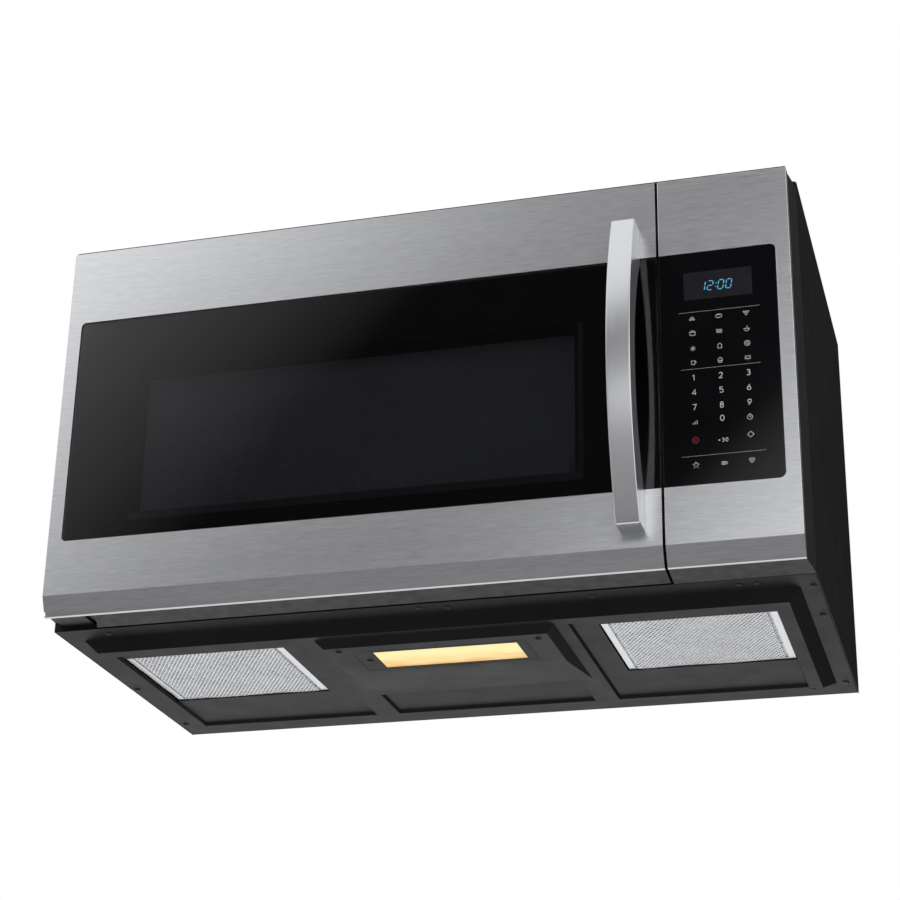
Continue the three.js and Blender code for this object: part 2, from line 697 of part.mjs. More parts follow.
// ---------------------------------------------------------------- underside pan
function panSolid(wall) {
  const [x, front, rear] = [HALF - PAN_MARGIN_X - wall, PAN_FRONT + wall, PAN_REAR - wall];
  const runs = [PAN_SIDE_RUN, PAN_SIDE_RUN, PAN_FRONT_RUN, PAN_REAR_RUN];
  const bottom = -PAN_DROP + wall;
  let pan = frustum(-x, x, front, rear, wall, runs, bottom);
  const recess = (x0, x1, y0, y1) => frustum(x0 - wall, x1 + wall, y0 - wall, y1 + wall,
    bottom - PAST, [0, 0, 0, 0], bottom).add(frustum(x0 - wall, x1 + wall, y0 - wall, y1 + wall,
    bottom - 0.001, [RECESS_RUN, RECESS_RUN, RECESS_RUN, RECESS_RUN], bottom + RECESS_RISE));
  for (const side of [-1, 1]) {
    const outer = side * SIDE_RECESS_OUTER;
    const inner = side * SIDE_RECESS_INNER;
    pan = pan.subtract(recess(Math.min(outer, inner), Math.max(outer, inner), RECESS_FRONT, RECESS_REAR));
  }
  pan = pan.subtract(recess(-MID_RECESS_HALF, MID_RECESS_HALF, MID_RECESS_FRONT, RECESS_REAR));
  const lampX = LAMP_BOX_HALF - wall;
  const [lampFront, lampBottom] = [LAMP_BOX_FRONT + wall, -LAMP_BOX_DROP + wall];
  const corners = [];
  for (const side of [-1, 1]) {
    corners.push([side * lampX, lampFront, bottom], [side * lampX, LAMP_BOX_TAIL, bottom]);
    corners.push([side * lampX, lampFront, wall], [side * lampX, LAMP_BOX_TAIL, wall]);
    corners.push([side * (lampX - LAMP_BOX_RUN), lampFront + LAMP_BOX_FRONT_RUN, lampBottom]);
    corners.push([side * (lampX - LAMP_BOX_RUN), LAMP_BOX_FLAT_END, lampBottom]);
  }
  return pan.add(block(corners));
}

function filterPlace(side) {
  return [side * FILTER_INNER, side * FILTER_OUTER].sort((a, b) => a - b);
}

function basePlate() {
  const flange = box(-INSIDE, INSIDE, FRONT_DEPTH, BODY_DEPTH - SHEET - GAP, 0, SHEET);
  let plate = flange.add(panSolid(0)).subtract(panSolid(SHEET));
  for (const side of [-1, 1]) {
    const [x0, x1] = filterPlace(side);
    plate = plate.subtract(box(x0 - FILTER_SIDE_CLEAR, x1 + FILTER_SIDE_CLEAR,
      FILTER_FRONT, FILTER_REAR, -PAN_DROP - PAST, -SHEET));
  }
  plate = plate.subtract(box(-LAMP_COVER_HALF - GAP, LAMP_COVER_HALF + GAP,
    LAMP_COVER_FRONT - GAP, LAMP_COVER_REAR + GAP, -LAMP_BOX_DROP - PAST, -LAMP_BOX_DROP + PAST));
  piece('base_plate', plate, BLACK_PAINT);
}

function greaseFilter(name, side, carrier) {
  const [x0, x1] = filterPlace(side);
  const z = -PAN_DROP + RECESS_RISE + SHEET + GAP;
  const [front, rear] = [FILTER_FRONT - FILTER_LAP, FILTER_REAR + FILTER_LAP];
  let filter = box(x0, x1, front, rear, z, z + FILTER_THICK);
  const top = z + FILTER_THICK;
  for (const [low, high] of [[z - PAST, z + FILTER_MESH_INSET], [top - FILTER_MESH_INSET, top + PAST]]) {
    filter = filter.subtract(box(x0 + FILTER_RAIL, x1 - FILTER_RAIL, front + FILTER_RAIL, rear - FILTER_RAIL,
      low, high));
  }
  piece(name, filter, ALUMINIUM, carrier);
}

// The clips carry the lamp cover and the lamp board in the lamp box.
function cooktopLamp() {
  const z = -LAMP_BOX_DROP;
  const clip = LAMP_COVER_CLIP;
  let cover = box(-LAMP_COVER_HALF, LAMP_COVER_HALF, LAMP_COVER_FRONT, LAMP_COVER_REAR, z, z + LAMP_COVER_THICK);
  const clipZ = z + SHEET + GAP;
  for (const side of [-1, 1]) {
    const edge = side * LAMP_COVER_HALF;
    cover = cover.add(box(edge - clip, edge + clip, LAMP_COVER_FRONT + clip + SHEET,
      LAMP_COVER_REAR - clip - SHEET, clipZ, clipZ + LAMP_COVER_THICK));
  }
  const [lensX0, lensX1] = [LENS_SHIFT - LENS_HALF, LENS_SHIFT + LENS_HALF];
  cover = cover.subtract(box(lensX0 - GAP, lensX1 + GAP, LENS_FRONT - GAP, LENS_REAR + GAP, z - PAST, z + PAST));
  piece('lamp_cover', cover, BLACK_PAINT);
  const lensTop = z + LENS_THICK + SHEET;
  const flange = LENS_FLANGE;
  let lens = box(lensX0, lensX1, LENS_FRONT, LENS_REAR, z + GAP, z + LENS_THICK);
  lens = lens.add(box(lensX0 - flange, lensX1 + flange, LENS_FRONT - flange, LENS_REAR + flange,
    z + LAMP_COVER_THICK + GAP, lensTop));
  lens = lens.subtract(box(lensX0 + LENS_WALL, lensX1 - LENS_WALL, LENS_FRONT + LENS_WALL, LENS_REAR - LENS_WALL,
    z + LENS_WALL, lensTop + PAST));
  piece('lamp_lens', lens, LENS);
  const boardZ = lensTop + GAP;
  const [boardFront, boardRear] = [LENS_FRONT + LAMP_BOARD_EDGE, LENS_REAR - LAMP_BOARD_EDGE];
  let board = box(lensX0, lensX1, boardFront, boardRear, boardZ + SHEET, boardZ + SHEET + LAMP_BOARD_THICK);
  for (const side of [-1, 1]) {
    const x = LENS_SHIFT + side * (LENS_HALF - LENS_WALL / 2);
    board = board.add(box(x - LAMP_BOARD_THICK, x + LAMP_BOARD_THICK, boardFront, boardRear,
      boardZ, boardZ + 2 * SHEET));
  }
  const ledY = (boardFront + boardRear) / 2;
  const half = LED_SIZE / 2;
  const pitch = (2 * LENS_HALF - 2 * LED_MARGIN) / (LEDS - 1);
  for (let i = 0; i < LEDS; i += 1) {
    const x = lensX0 + LED_MARGIN + i * pitch;
    board = board.add(box(x - half, x + half, ledY - half, ledY + half, boardZ, boardZ + 2 * SHEET));
  }
  piece('cooktop_lamp_board', board, BOARD);
}

// ---------------------------------------------------------------- vent grille, charcoal filter, blower
function ventGrille() {
  const under = FACE_TOP + GRILLE_UNDER_CLEAR;
  const deckZ = CASE_H - GRILLE_THICK;
  const end = FRONT_DEPTH - GAP;
  const slope = [[GRILLE_FRONT, under], [end, under], [end, CASE_H], [GRILLE_FRONT, fromTop(GRILLE_FRONT_DROP)]];
  let grille = prism('x', slope, DOOR_LEFT + SHEET, PANEL_RIGHT - SHEET);
  grille = grille.add(box(-INSIDE, INSIDE, FRONT_DEPTH - SHEET, GRILLE_REAR, deckZ, CASE_H));
  const z0 = UPPER_DECK + SHEET + GAP;
  grille = grille.add(box(-INSIDE, INSIDE, FRONT_DEPTH + GAP, FRONT_DEPTH + GRILLE_THICK, z0, CASE_H));
  const pitch = (2 * INSIDE - 2 * GRILLE_END_MARGIN) / GRILLE_SLOTS;
  for (let i = 0; i < GRILLE_SLOTS; i += 1) {
    const x = -INSIDE + GRILLE_END_MARGIN + (i + 0.5) * pitch;
    grille = grille.subtract(box(x - GRILLE_SLOT_W / 2, x + GRILLE_SLOT_W / 2,
      GRILLE_SLOT_FRONT, GRILLE_SLOT_REAR, deckZ - PAST, CASE_H + PAST));
  }
  piece('vent_grille', grille, BLACK_PLASTIC);
  const rear = CHARCOAL_FRONT + CHARCOAL_THICK;
  const inner = CHARCOAL_HALF - CHARCOAL_RIM;
  const [low, high] = [z0 + CHARCOAL_RIM, deckZ - GAP - CHARCOAL_RIM];
  let filter = box(-CHARCOAL_HALF, CHARCOAL_HALF, CHARCOAL_FRONT, rear, z0, deckZ - GAP);
  filter = filter.subtract(box(-inner, inner, CHARCOAL_FRONT - PAST, CHARCOAL_FRONT + CHARCOAL_DISH, low, high));
  filter = filter.subtract(box(-inner, inner, rear - CHARCOAL_DISH, rear + PAST, low, high));
  piece('charcoal_filter', filter, CARBON);
}

const BLOWER_Y = fromWall(BLOWER_FROM_WALL);
const BLOWER_BOTTOM = UPPER_DECK + SHEET + GAP;
const BLOWER_TOP = fromTop(SHEET + BLOWER_HEADROOM);
const BLOWER_Z = (BLOWER_BOTTOM + BLOWER_TOP) / 2;
const BLOWER_CHAMBER_R = (BLOWER_TOP - BLOWER_BOTTOM) / 2;
const BLOWER_R = BLOWER_CHAMBER_R - BLOWER_WALL - BLOWER_TIP_CLEAR;
const BLOWER_FRONT = BLOWER_Y - BLOWER_R - BLOWER_THROAT;
const BLOWER_INLET_R = BLOWER_R - BLOWER_INLET_LIP;
const BLOWER_MOTOR_R = BLOWER_R - BLOWER_MOTOR_CLEAR;
const BLOWER_WHEEL_START = BLOWER_MOTOR_HALF + RUNNING + BLOWER_WALL + RUNNING;
const BLOWER_WHEEL_L = BLOWER_HALF - BLOWER_END_ROOM - BLOWER_WHEEL_START;

// Two scroll chambers with a motor space between them; each blows forwards and draws in at both its ends.
function blowerHousing() {
  const scroll = (radius, front) => {
    const shape = new THREE.Shape();
    shape.moveTo(front, BLOWER_Z - radius);
    shape.lineTo(BLOWER_Y, BLOWER_Z - radius);
    shape.absarc(BLOWER_Y, BLOWER_Z, radius, -Math.PI / 2, Math.PI / 2);
    shape.lineTo(front, BLOWER_Z + radius);
    return shape;
  };
  let housing = prism('x', scroll(BLOWER_CHAMBER_R, BLOWER_FRONT), -BLOWER_HALF, BLOWER_HALF, 10);
  const inner = scroll(BLOWER_CHAMBER_R - BLOWER_WALL, BLOWER_FRONT - PAST);
  const motorWall = BLOWER_MOTOR_HALF + RUNNING;
  for (const side of [-1, 1]) {
    const ends = [side * (motorWall + BLOWER_WALL), side * (BLOWER_HALF - BLOWER_WALL)].sort((a, b) => a - b);
    housing = housing.subtract(prism('x', inner, ends[0], ends[1], 10));
  }
  housing = housing.subtract(prism('x', inner, -motorWall, motorWall, 10));
  housing = housing.subtract(rod('x', BLOWER_INLET_R, -BLOWER_HALF - PAST, BLOWER_HALF + PAST,
    [BLOWER_Y, BLOWER_Z], 28));
  piece('vent_blower_housing', housing, ZINC);
}

function blowerWheel(name, centreX, carrier) {
  const half = BLOWER_WHEEL_L / 2;
  const at = [BLOWER_Y, BLOWER_Z];
  const [x0, x1] = [centreX - half, centreX + half];
  const rim = BLOWER_RIM_W;
  const bore = BLOWER_SHAFT_R + GAP;
  let wheel = tube('x', BLOWER_R, BLOWER_R - BLOWER_RIM, x0, x0 + rim, at, 28);
  wheel = wheel.add(tube('x', BLOWER_R, BLOWER_R - BLOWER_RIM, x1 - rim, x1, at, 28));
  wheel = wheel.add(tube('x', BLOWER_R, bore, centreX - rim / 2, centreX + rim / 2, at, 28));
  const hub = BLOWER_HUB_L / 2;
  wheel = wheel.add(tube('x', BLOWER_HUB_R, bore, centreX - hub, centreX + hub, at, 20));
  for (let i = 0; i < BLOWER_BLADES; i += 1) {
    const blade = new THREE.BoxGeometry(BLOWER_WHEEL_L - rim, BLADE_THICK, BLADE_DEEP);
    blade.translate(centreX, 0, BLOWER_R - BLOWER_RIM / 2);
    blade.rotateX((2 * Math.PI * i) / BLOWER_BLADES);
    blade.translate(0, BLOWER_Y, BLOWER_Z);
    wheel = wheel.add(solid(blade));
  }
  piece(name, wheel, ZINC, carrier);
}

function ventBlower() {
  blowerHousing();
  const at = [BLOWER_Y, BLOWER_Z];
  let motor = rod('x', BLOWER_MOTOR_R, -BLOWER_MOTOR_HALF, BLOWER_MOTOR_HALF, at, 28);
  motor = motor.subtract(rod('x', BLOWER_SHAFT_R + SHAFT_CLEAR, -BLOWER_MOTOR_HALF - PAST,
    BLOWER_MOTOR_HALF + PAST, at, 20));
  const footZ = BLOWER_BOTTOM + BLOWER_WALL + GAP;
  for (const y of [BLOWER_Y - BLOWER_FOOT_FRONT, BLOWER_Y - BLOWER_FOOT_REAR]) {
    motor = motor.add(box(-BLOWER_FOOT_W / 2, BLOWER_FOOT_W / 2, y, y + BLOWER_FOOT_D,
      footZ, BLOWER_Z - BLOWER_MOTOR_R / 2));
  }
  piece('vent_blower_motor', motor, IRON);
  const rotor = new THREE.Group();
  body.add(rotor);
  const wheelX = BLOWER_WHEEL_START + BLOWER_WHEEL_L / 2;
  const shaftHalf = wheelX + BLOWER_SHAFT_END;
  piece('vent_blower_shaft', rod('x', BLOWER_SHAFT_R, -shaftHalf, shaftHalf, at, 20), ZINC, rotor);
  blowerWheel('vent_blower_wheel_left', -wheelX, rotor);
  blowerWheel('vent_blower_wheel_right', wheelX, rotor);
}

// ---------------------------------------------------------------- oven cavity
const GUIDE_Y1 = GUIDE_Y0 + GUIDE_L;
const GUIDE_Z1 = CAVITY_Z1 - GUIDE_FROM_ROOF;
const GUIDE_Z0 = GUIDE_Z1 - GUIDE_H;
const MOUTH_Y0 = GUIDE_Y0 + GUIDE_MOUTH_EDGE;
const MOUTH_Y1 = MOUTH_Y0 + GUIDE_MOUTH;
const MOUTH_Z0 = GUIDE_Z0 + GUIDE_MOUTH_EDGE;
const MOUTH_Z1 = GUIDE_Z1 - GUIDE_MOUTH_EDGE;
const CAVITY_LAMP_Y = fromWall(CAVITY_LAMP_FROM_WALL);
const CAVITY_LAMP_Z = CAVITY_Z1 - CAVITY_LAMP_FROM_ROOF;
const LATCH_X = SPLIT_X - LATCH_FROM_SPLIT;

function cavityShape(wall, front) {
  const outline = roundedRectangle(CAVITY_X0 - wall, CAVITY_X1 + wall, CAVITY_FLOOR - wall, CAVITY_Z1 + wall,
    Array(4).fill(CAVITY_RADIUS + wall));
  return prism('y', outline, front, CAVITY_Y1 + wall, 4);
}

function ovenCavity() {
  let cavity = cavityShape(SHEET, CAVITY_Y0);
  const flangeZ0 = LOWER_DECK + GAP;
  cavity = cavity.add(box(-INSIDE, SPLIT_X, CAVITY_Y0, FLANGE_BACK, flangeZ0, UPPER_DECK + SHEET));
  cavity = cavity.subtract(cavityShape(0, CAVITY_Y0 - PAST));
  for (const z of [HOOK_LOW, HOOK_HIGH]) {
    cavity = cavity.subtract(box(LATCH_X - LATCH_SLOT_HALF, LATCH_X + LATCH_SLOT_HALF,
      CAVITY_Y0 - PAST, FLANGE_BACK + PAST, z - HOOK_ROOM, z + HOOK_ROOM));
  }
  const shaftHole = SHAFT_R + SHAFT_HOLE_CLEAR;
  cavity = cavity.subtract(rod('z', shaftHole, CAVITY_FLOOR - PAST, CAVITY_FLOOR + PAST, [CAVITY_X, TRAY_Y]));
  const [wall0, wall1] = [CAVITY_X1 - PAST, CAVITY_X1 + PAST];
  cavity = cavity.subtract(box(wall0, wall1, MOUTH_Y0, MOUTH_Y1, MOUTH_Z0, MOUTH_Z1));
  for (let row = 0; row < LAMP_HOLE_ROWS; row += 1) {
    for (let column = 0; column < LAMP_HOLE_COLUMNS; column += 1) {
      const y = CAVITY_LAMP_Y + (column - (LAMP_HOLE_COLUMNS - 1) / 2) * LAMP_HOLE_PITCH;
      const z = CAVITY_LAMP_Z + (row - (LAMP_HOLE_ROWS - 1) / 2) * LAMP_HOLE_PITCH;
      cavity = cavity.subtract(rod('x', LAMP_HOLE_R, wall0, wall1, [y, z], 8));
    }
  }
  piece('oven_cavity', cavity, ENAMEL);
}

// ---------------------------------------------------------------- microwave feed
function waveguide(x0, antenna) {
  const x1 = x0 + GUIDE_DEEP;
  let guide = box(x0, x1, GUIDE_Y0, GUIDE_Y1, GUIDE_Z0, GUIDE_Z1);
  guide = guide.subtract(box(x0 - PAST, x1 - GUIDE_WALL, GUIDE_Y0 + GUIDE_WALL, GUIDE_Y1 - GUIDE_WALL,
    GUIDE_Z0 + GUIDE_WALL, GUIDE_Z1 - GUIDE_WALL));
  guide = guide.add(box(x0, x0 + GUIDE_WALL, MOUTH_Y1, GUIDE_Y1, GUIDE_Z0, GUIDE_Z1));
  guide = guide.subtract(rod('x', ANTENNA_R + ANTENNA_CLEAR, x1 - PAST, x1 + PAST, antenna, 20));
  piece('waveguide', guide, ALUMINIUM);
  const micaX = CAVITY_X1 - GAP;
  piece('waveguide_cover', box(micaX - MICA_THICK, micaX, MOUTH_Y0 - MICA_LAP, MOUTH_Y1 + MICA_LAP,
    MOUTH_Z0 - MICA_LAP, MOUTH_Z1 + MICA_LAP), MICA);
}

// A yoke round a finned anode, a ring magnet at each end of it, the filter box behind, the antenna in front.
function magnetronAndGuide() {
  const guideX = BAY_LEFT + GAP;
  const [y, z] = [GUIDE_Y1 - ANTENNA_FROM_END, (GUIDE_Z0 + GUIDE_Z1) / 2];
  waveguide(guideX, [y, z]);
  const plate0 = guideX + GUIDE_DEEP + GAP;
  const plate1 = plate0 + MOUNT_THICK;
  const end = plate0 + MAGNETRON_L;
  const slab = (x0, x1, halfY, halfZ) => box(x0, x1, y - halfY, y + halfY, z - halfZ, z + halfZ);
  let magnetron = slab(plate0, plate1, YOKE_HALF_Y + MOUNT_EDGE_Y, YOKE_HALF_Z + MOUNT_EDGE_Z);
  const core = slab(plate1 - PAST, end - YOKE_THICK, YOKE_HALF_Y - YOKE_THICK, YOKE_HALF_Z + PAST);
  magnetron = magnetron.add(slab(plate1, end, YOKE_HALF_Y, YOKE_HALF_Z).subtract(core));
  magnetron = magnetron.add(rod('x', ANODE_R, plate1, end - YOKE_THICK / 2, [y, z], 24));
  for (let i = 0; i < FINS; i += 1) {
    const x = plate0 + FIN_START + i * FIN_PITCH;
    magnetron = magnetron.add(slab(x, x + FIN_THICK, YOKE_HALF_Y - YOKE_THICK / 2, YOKE_HALF_Z - YOKE_THICK));
  }
  for (const x of [plate1 + YOKE_THICK, end - YOKE_THICK - MOUNT_THICK - MAGNET_THICK]) {
    magnetron = magnetron.add(tube('x', YOKE_HALF_Z, ANODE_R - YOKE_THICK / 2, x, x + MAGNET_THICK, [y, z], 24));
  }
  magnetron = magnetron.add(slab(end, end + FILTER_BOX_L, FILTER_BOX_HALF_Y, FILTER_BOX_HALF_Z));
  magnetron = magnetron.add(rod('x', ANTENNA_R, guideX + ANTENNA_SHORT, plate0 + MOUNT_THICK / 2, [y, z], 20));
  piece('magnetron', magnetron, ZINC);
}

// ---------------------------------------------------------------- component bay
const TRANSFORMER_X = fromRight(TRANSFORMER_FROM_RIGHT);
const FAN_X = fromRight(FAN_FROM_RIGHT);
const FAN_Z = UPPER_DECK - FAN_FROM_DECK;
const FAN_SHROUD_Y = fromWall(FAN_DEPTH);
const SHROUD_END = REAR_INSIDE - GAP;

function transformer(x, y, z) {
  const slab = (halfX, halfY, z0, z1) => box(x - halfX, x + halfX, y - halfY, y + halfY, z + z0, z + z1);
  const windingZ = (CORE_H - WINDING_H) / 2;
  const core = slab(CORE_HALF_X + CORE_FOOT_X, CORE_HALF_Y + CORE_FOOT_Y, 0, CORE_FOOT)
    .add(slab(CORE_HALF_X, CORE_HALF_Y, CORE_FOOT, CORE_H))
    .add(slab(WINDING_HALF_X, WINDING_HALF_Y, windingZ, windingZ + WINDING_H))
    .add(slab(TERMINAL_HALF_X, TERMINAL_HALF_Y, CORE_H, CORE_H + TERMINAL_H));
  piece('high_voltage_transformer', core, IRON);
}

function capacitorAndDiode(x, y, z) {
  let can = prism('z', roundedBar(x, y, CAN_STRAIGHT, CAN_R), z, z + CAN_H, 8);
  for (const side of [-1, 1]) {
    const tabX = x + side * CAN_TAB_AT;
    can = can.add(box(tabX - CAN_TAB_THICK, tabX + CAN_TAB_THICK, y - CAN_TAB_HALF, y + CAN_TAB_HALF,
      z + CAN_H, z + CAN_H + CAN_TAB_H));
  }
  piece('high_voltage_capacitor', can, ALUMINIUM);
  const diodeX = x - CAN_STRAIGHT / 2 - DIODE_ASIDE;
  const diodeY = y + CAN_R + DIODE_BEHIND;
  const diode = box(diodeX - DIODE_HALF_X, diodeX + DIODE_HALF_X, diodeY - DIODE_HALF_Y, diodeY + DIODE_HALF_Y,
    z, z + DIODE_H)
    .add(rod('z', DIODE_POST_R, z + DIODE_H - SHEET, z + DIODE_H + DIODE_POST_H, [diodeX, diodeY], 12));
  piece('high_voltage_diode', diode, BLACK_PLASTIC);
}

function lineFilterBoard(x) {
  const back = REAR_INSIDE - GAP;
  const top = UPPER_DECK - LINE_BOARD_DROP;
  const bottom = top - LINE_BOARD_H;
  const face = back - LINE_BOARD_THICK / 2;
  const coilX = x + CHOKE_L + LINE_PART_EDGE * 2 + CAP_R;
  const board = box(x, x + LINE_BOARD_W, back - LINE_BOARD_THICK, back, bottom, top)
    .add(box(x + LINE_PART_EDGE, x + LINE_PART_EDGE + CHOKE_L, back - CHOKE_DEEP, face,
      bottom + LINE_PART_EDGE, top - LINE_PART_EDGE))
    .add(rod('y', CAP_R, back - CAP_DEEP, face, [coilX, (bottom + top) / 2], 16));
  piece('line_filter_board', board, BOARD);
}

function powerParts() {
  transformer(TRANSFORMER_X, TRANSFORMER_Y, BAY_FLOOR);
  capacitorAndDiode(TRANSFORMER_X + CAN_ASIDE, TRANSFORMER_Y + CAN_BEHIND, BAY_FLOOR);
  lineFilterBoard(fromRight(LINE_BOARD_FROM_RIGHT));
}

// A flat bar outline with round ends, centred at x, y.
function roundedBar(x, y, straight, radius) {
  const shape = new THREE.Shape();
  shape.moveTo(x - straight / 2, y - radius);
  shape.lineTo(x + straight / 2, y - radius);
  shape.absarc(x + straight / 2, y, radius, -Math.PI / 2, Math.PI / 2);
  shape.lineTo(x - straight / 2, y + radius);
  shape.absarc(x - straight / 2, y, radius, Math.PI / 2, Math.PI * 1.5);
  return shape;
}

function fanDuct(at, barFront) {
  const half = FAN_R + FAN_FRAME;
  const wall = FAN_WALL;
  const inner = half - wall;
  let duct = box(FAN_X - half, FAN_X + half, FAN_SHROUD_Y, SHROUD_END, FAN_Z - half, FAN_Z + half);
  duct = duct.subtract(rod('y', FAN_R + RUNNING, FAN_SHROUD_Y - PAST, SHROUD_END + PAST, at, 36));
  duct = duct.subtract(box(FAN_X - inner, FAN_X + inner, FAN_SHROUD_Y + FAN_FACE, SHROUD_END + PAST,
    FAN_Z - inner, FAN_Z + inner));
  duct = duct.add(box(FAN_X - FAN_BAR_HALF, FAN_X + FAN_BAR_HALF, barFront, barFront + wall,
    FAN_Z - half + SHEET, FAN_Z + half - SHEET));
  duct = duct.subtract(rod('y', FAN_SHAFT_R * 2, barFront - PAST, barFront + wall + PAST, at, 16));
  duct = duct.add(box(FAN_X - half, FAN_X - inner, FAN_SHROUD_Y + FAN_FACE / 2, SHROUD_END, BAY_FLOOR, FAN_Z));
  piece('cooling_air_duct', duct, BLACK_PLASTIC);
}

function fanMotor(at, motorEnd) {
  const slab = (halfX, deep, z0, z1) => box(FAN_X - halfX, FAN_X + halfX, motorEnd - deep, motorEnd,
    FAN_Z + z0, FAN_Z + z1);
  const motor = slab(FAN_CORE_HALF, FAN_CORE_D, -FAN_CORE_LOW, FAN_CORE_HIGH)
    .add(slab(FAN_COIL_HALF, FAN_COIL_D, -FAN_COIL_LOW, -FAN_COIL_HIGH))
    .subtract(rod('y', FAN_SHAFT_R + SHAFT_CLEAR, motorEnd - FAN_COIL_D - PAST, motorEnd + PAST, at, 16));
  piece('cooling_fan_motor', motor, COPPER);
}

function fanWheel(at, motorEnd) {
  const rotor = new THREE.Group();
  body.add(rotor);
  const hubFront = FAN_SHROUD_Y + FAN_FACE;
  const bladeL = FAN_R - FAN_HUB_R + FAN_BLADE_ROOT;
  let wheel = rod('y', FAN_HUB_R, hubFront, hubFront + FAN_HUB_L, at, 24);
  wheel = wheel.add(rod('y', FAN_SHAFT_R, motorEnd - FAN_CORE_D + FAN_SHAFT_SHORT,
    hubFront + FAN_SHAFT_IN, at, 16));
  for (let i = 0; i < FAN_BLADES; i += 1) {
    const blade = new THREE.BoxGeometry(FAN_BLADE_W, FAN_BLADE_THICK, bladeL);
    blade.rotateZ(FAN_BLADE_TWIST);
    blade.translate(0, 0, FAN_R - bladeL / 2);
    blade.rotateY((2 * Math.PI * i) / FAN_BLADES);
    blade.translate(FAN_X, hubFront + FAN_HUB_L / 2, FAN_Z);
    wheel = wheel.add(solid(blade));
  }
  piece('cooling_fan_wheel', wheel, WHITE_PLASTIC, rotor);
}

function coolingFan() {
  const at = [FAN_X, FAN_Z];
  const barFront = FAN_SHROUD_Y + FAN_BAR_SET;
  fanDuct(at, barFront);
  fanMotor(at, barFront - GAP);
  fanWheel(at, barFront - GAP);
}

function cavityLamp() {
  const x = BAY_LEFT + GAP;
  const at = [CAVITY_LAMP_Y, CAVITY_LAMP_Z];
  const mouthEnd = x + LAMP_PLATE_THICK / 2;
  const lamp = box(x, x + LAMP_PLATE_THICK, CAVITY_LAMP_Y - LAMP_PLATE_HALF_Y, CAVITY_LAMP_Y + LAMP_PLATE_HALF_Y,
    CAVITY_LAMP_Z - LAMP_PLATE_HALF_Z, CAVITY_LAMP_Z + LAMP_PLATE_HALF_Z)
    .subtract(rod('x', LAMP_SOCKET_R + SHEET, x - PAST, mouthEnd, at, 20))
    .add(rod('x', LAMP_SOCKET_R, mouthEnd, x + LAMP_SOCKET_L, at, 20, LAMP_SOCKET_END_R));
  piece('cavity_lamp', lamp, WHITE_PLASTIC);
}

// Round thermal cut-outs on the cavity roof, each with two tabs.
function thermostats() {
  const x = CAVITY_X1 - THERMOSTAT_FROM_SIDE;
  const z = CAVITY_ROOF + GAP;
  const tabs = [z + THERMOSTAT_H - SHEET, UPPER_DECK - THERMOSTAT_CLEAR];
  const places = [['cavity_thermostat', CAVITY_Y1 - THERMOSTAT_FROM_BACK],
    ['magnetron_thermostat', CAVITY_Y0 + THERMOSTAT_FROM_FRONT]];
  for (const [name, y] of places) {
    let disc = rod('z', THERMOSTAT_R, z, z + THERMOSTAT_H, [x, y], 20);
    for (const side of [-1, 1]) {
      const tabX = x + side * THERMOSTAT_TAB_AT;
      disc = disc.add(box(tabX - SHEET, tabX + SHEET, y - THERMOSTAT_TAB_HALF, y + THERMOSTAT_TAB_HALF, ...tabs));
    }
    piece(name, disc, BLACK_PLASTIC);
  }
}

// ---------------------------------------------------------------- turntable
const TRAY_Z = CAVITY_FLOOR + 2 * ROLLER_R + GAP;
const TURN_MOTOR_TOP = CAVITY_FLOOR - SHEET - GAP;

// A copy of a shape, turned about the turntable's axis to place i of n.
function roundTable(geometry, i, n) {
  geometry.rotateZ((2 * Math.PI * i) / n);
  geometry.translate(CAVITY_X, TRAY_Y, 0);
  return solid(geometry);
}

function turntableMotor(at) {
  const top = TURN_MOTOR_TOP;
  const half = TURN_MOTOR_HALF;
  const ear = half + TURN_MOTOR_EAR;
  const motor = box(CAVITY_X - half, CAVITY_X + half, TRAY_Y - half, TRAY_Y + half, top - TURN_MOTOR_H, top)
    .add(box(CAVITY_X - ear, CAVITY_X + ear, TRAY_Y - TURN_MOTOR_EAR_W / 2, TRAY_Y + TURN_MOTOR_EAR_W / 2,
      top - TURN_MOTOR_EAR_THICK, top))
    .subtract(rod('z', SHAFT_R + SHAFT_CLEAR, top - TURN_MOTOR_BORE, top + PAST, at, 20));
  piece('turntable_motor', motor, ZINC);
}

function couplerAndTray(at) {
  const turning = new THREE.Group();
  body.add(turning);
  const armTop = TRAY_Z - GAP;
  let coupler = rod('z', SHAFT_R, TURN_MOTOR_TOP - TURN_MOTOR_BORE + SHEET, CAVITY_FLOOR + COUPLER_LAP, at, 20);
  coupler = coupler.add(rod('z', COUPLER_HUB_R, CAVITY_FLOOR + GAP, armTop, at, 24));
  for (let i = 0; i < COUPLER_ARMS; i += 1) {
    const arm = new THREE.BoxGeometry(COUPLER_R, COUPLER_ARM_W, COUPLER_ARM_H);
    arm.translate(COUPLER_R / 2, 0, armTop - COUPLER_ARM_H / 2);
    coupler = coupler.add(roundTable(arm, i, COUPLER_ARMS));
  }
  piece('turntable_coupler', coupler, WHITE_PLASTIC, turning);

  const foot = TRAY_R - TRAY_FLARE;
  let tray = rod('z', foot, TRAY_Z, TRAY_Z + TRAY_RIM, at, 64, TRAY_R);
  tray = tray.subtract(rod('z', foot - TRAY_THICK, TRAY_Z + TRAY_THICK, TRAY_Z + TRAY_RIM + 0.01, at, 64,
    TRAY_R - TRAY_EDGE));
  for (let i = 0; i < COUPLER_ARMS; i += 1) {
    const lug = new THREE.BoxGeometry(LUG_L, LUG_W, LUG_DROP + SHEET);
    lug.translate(COUPLER_R + LUG_OUT, 0, TRAY_Z + SHEET - (LUG_DROP + SHEET) / 2);
    tray = tray.add(roundTable(lug, i + 0.5, COUPLER_ARMS));
  }
  piece('glass_tray', tray, CLEAR_GLASS, turning);
}

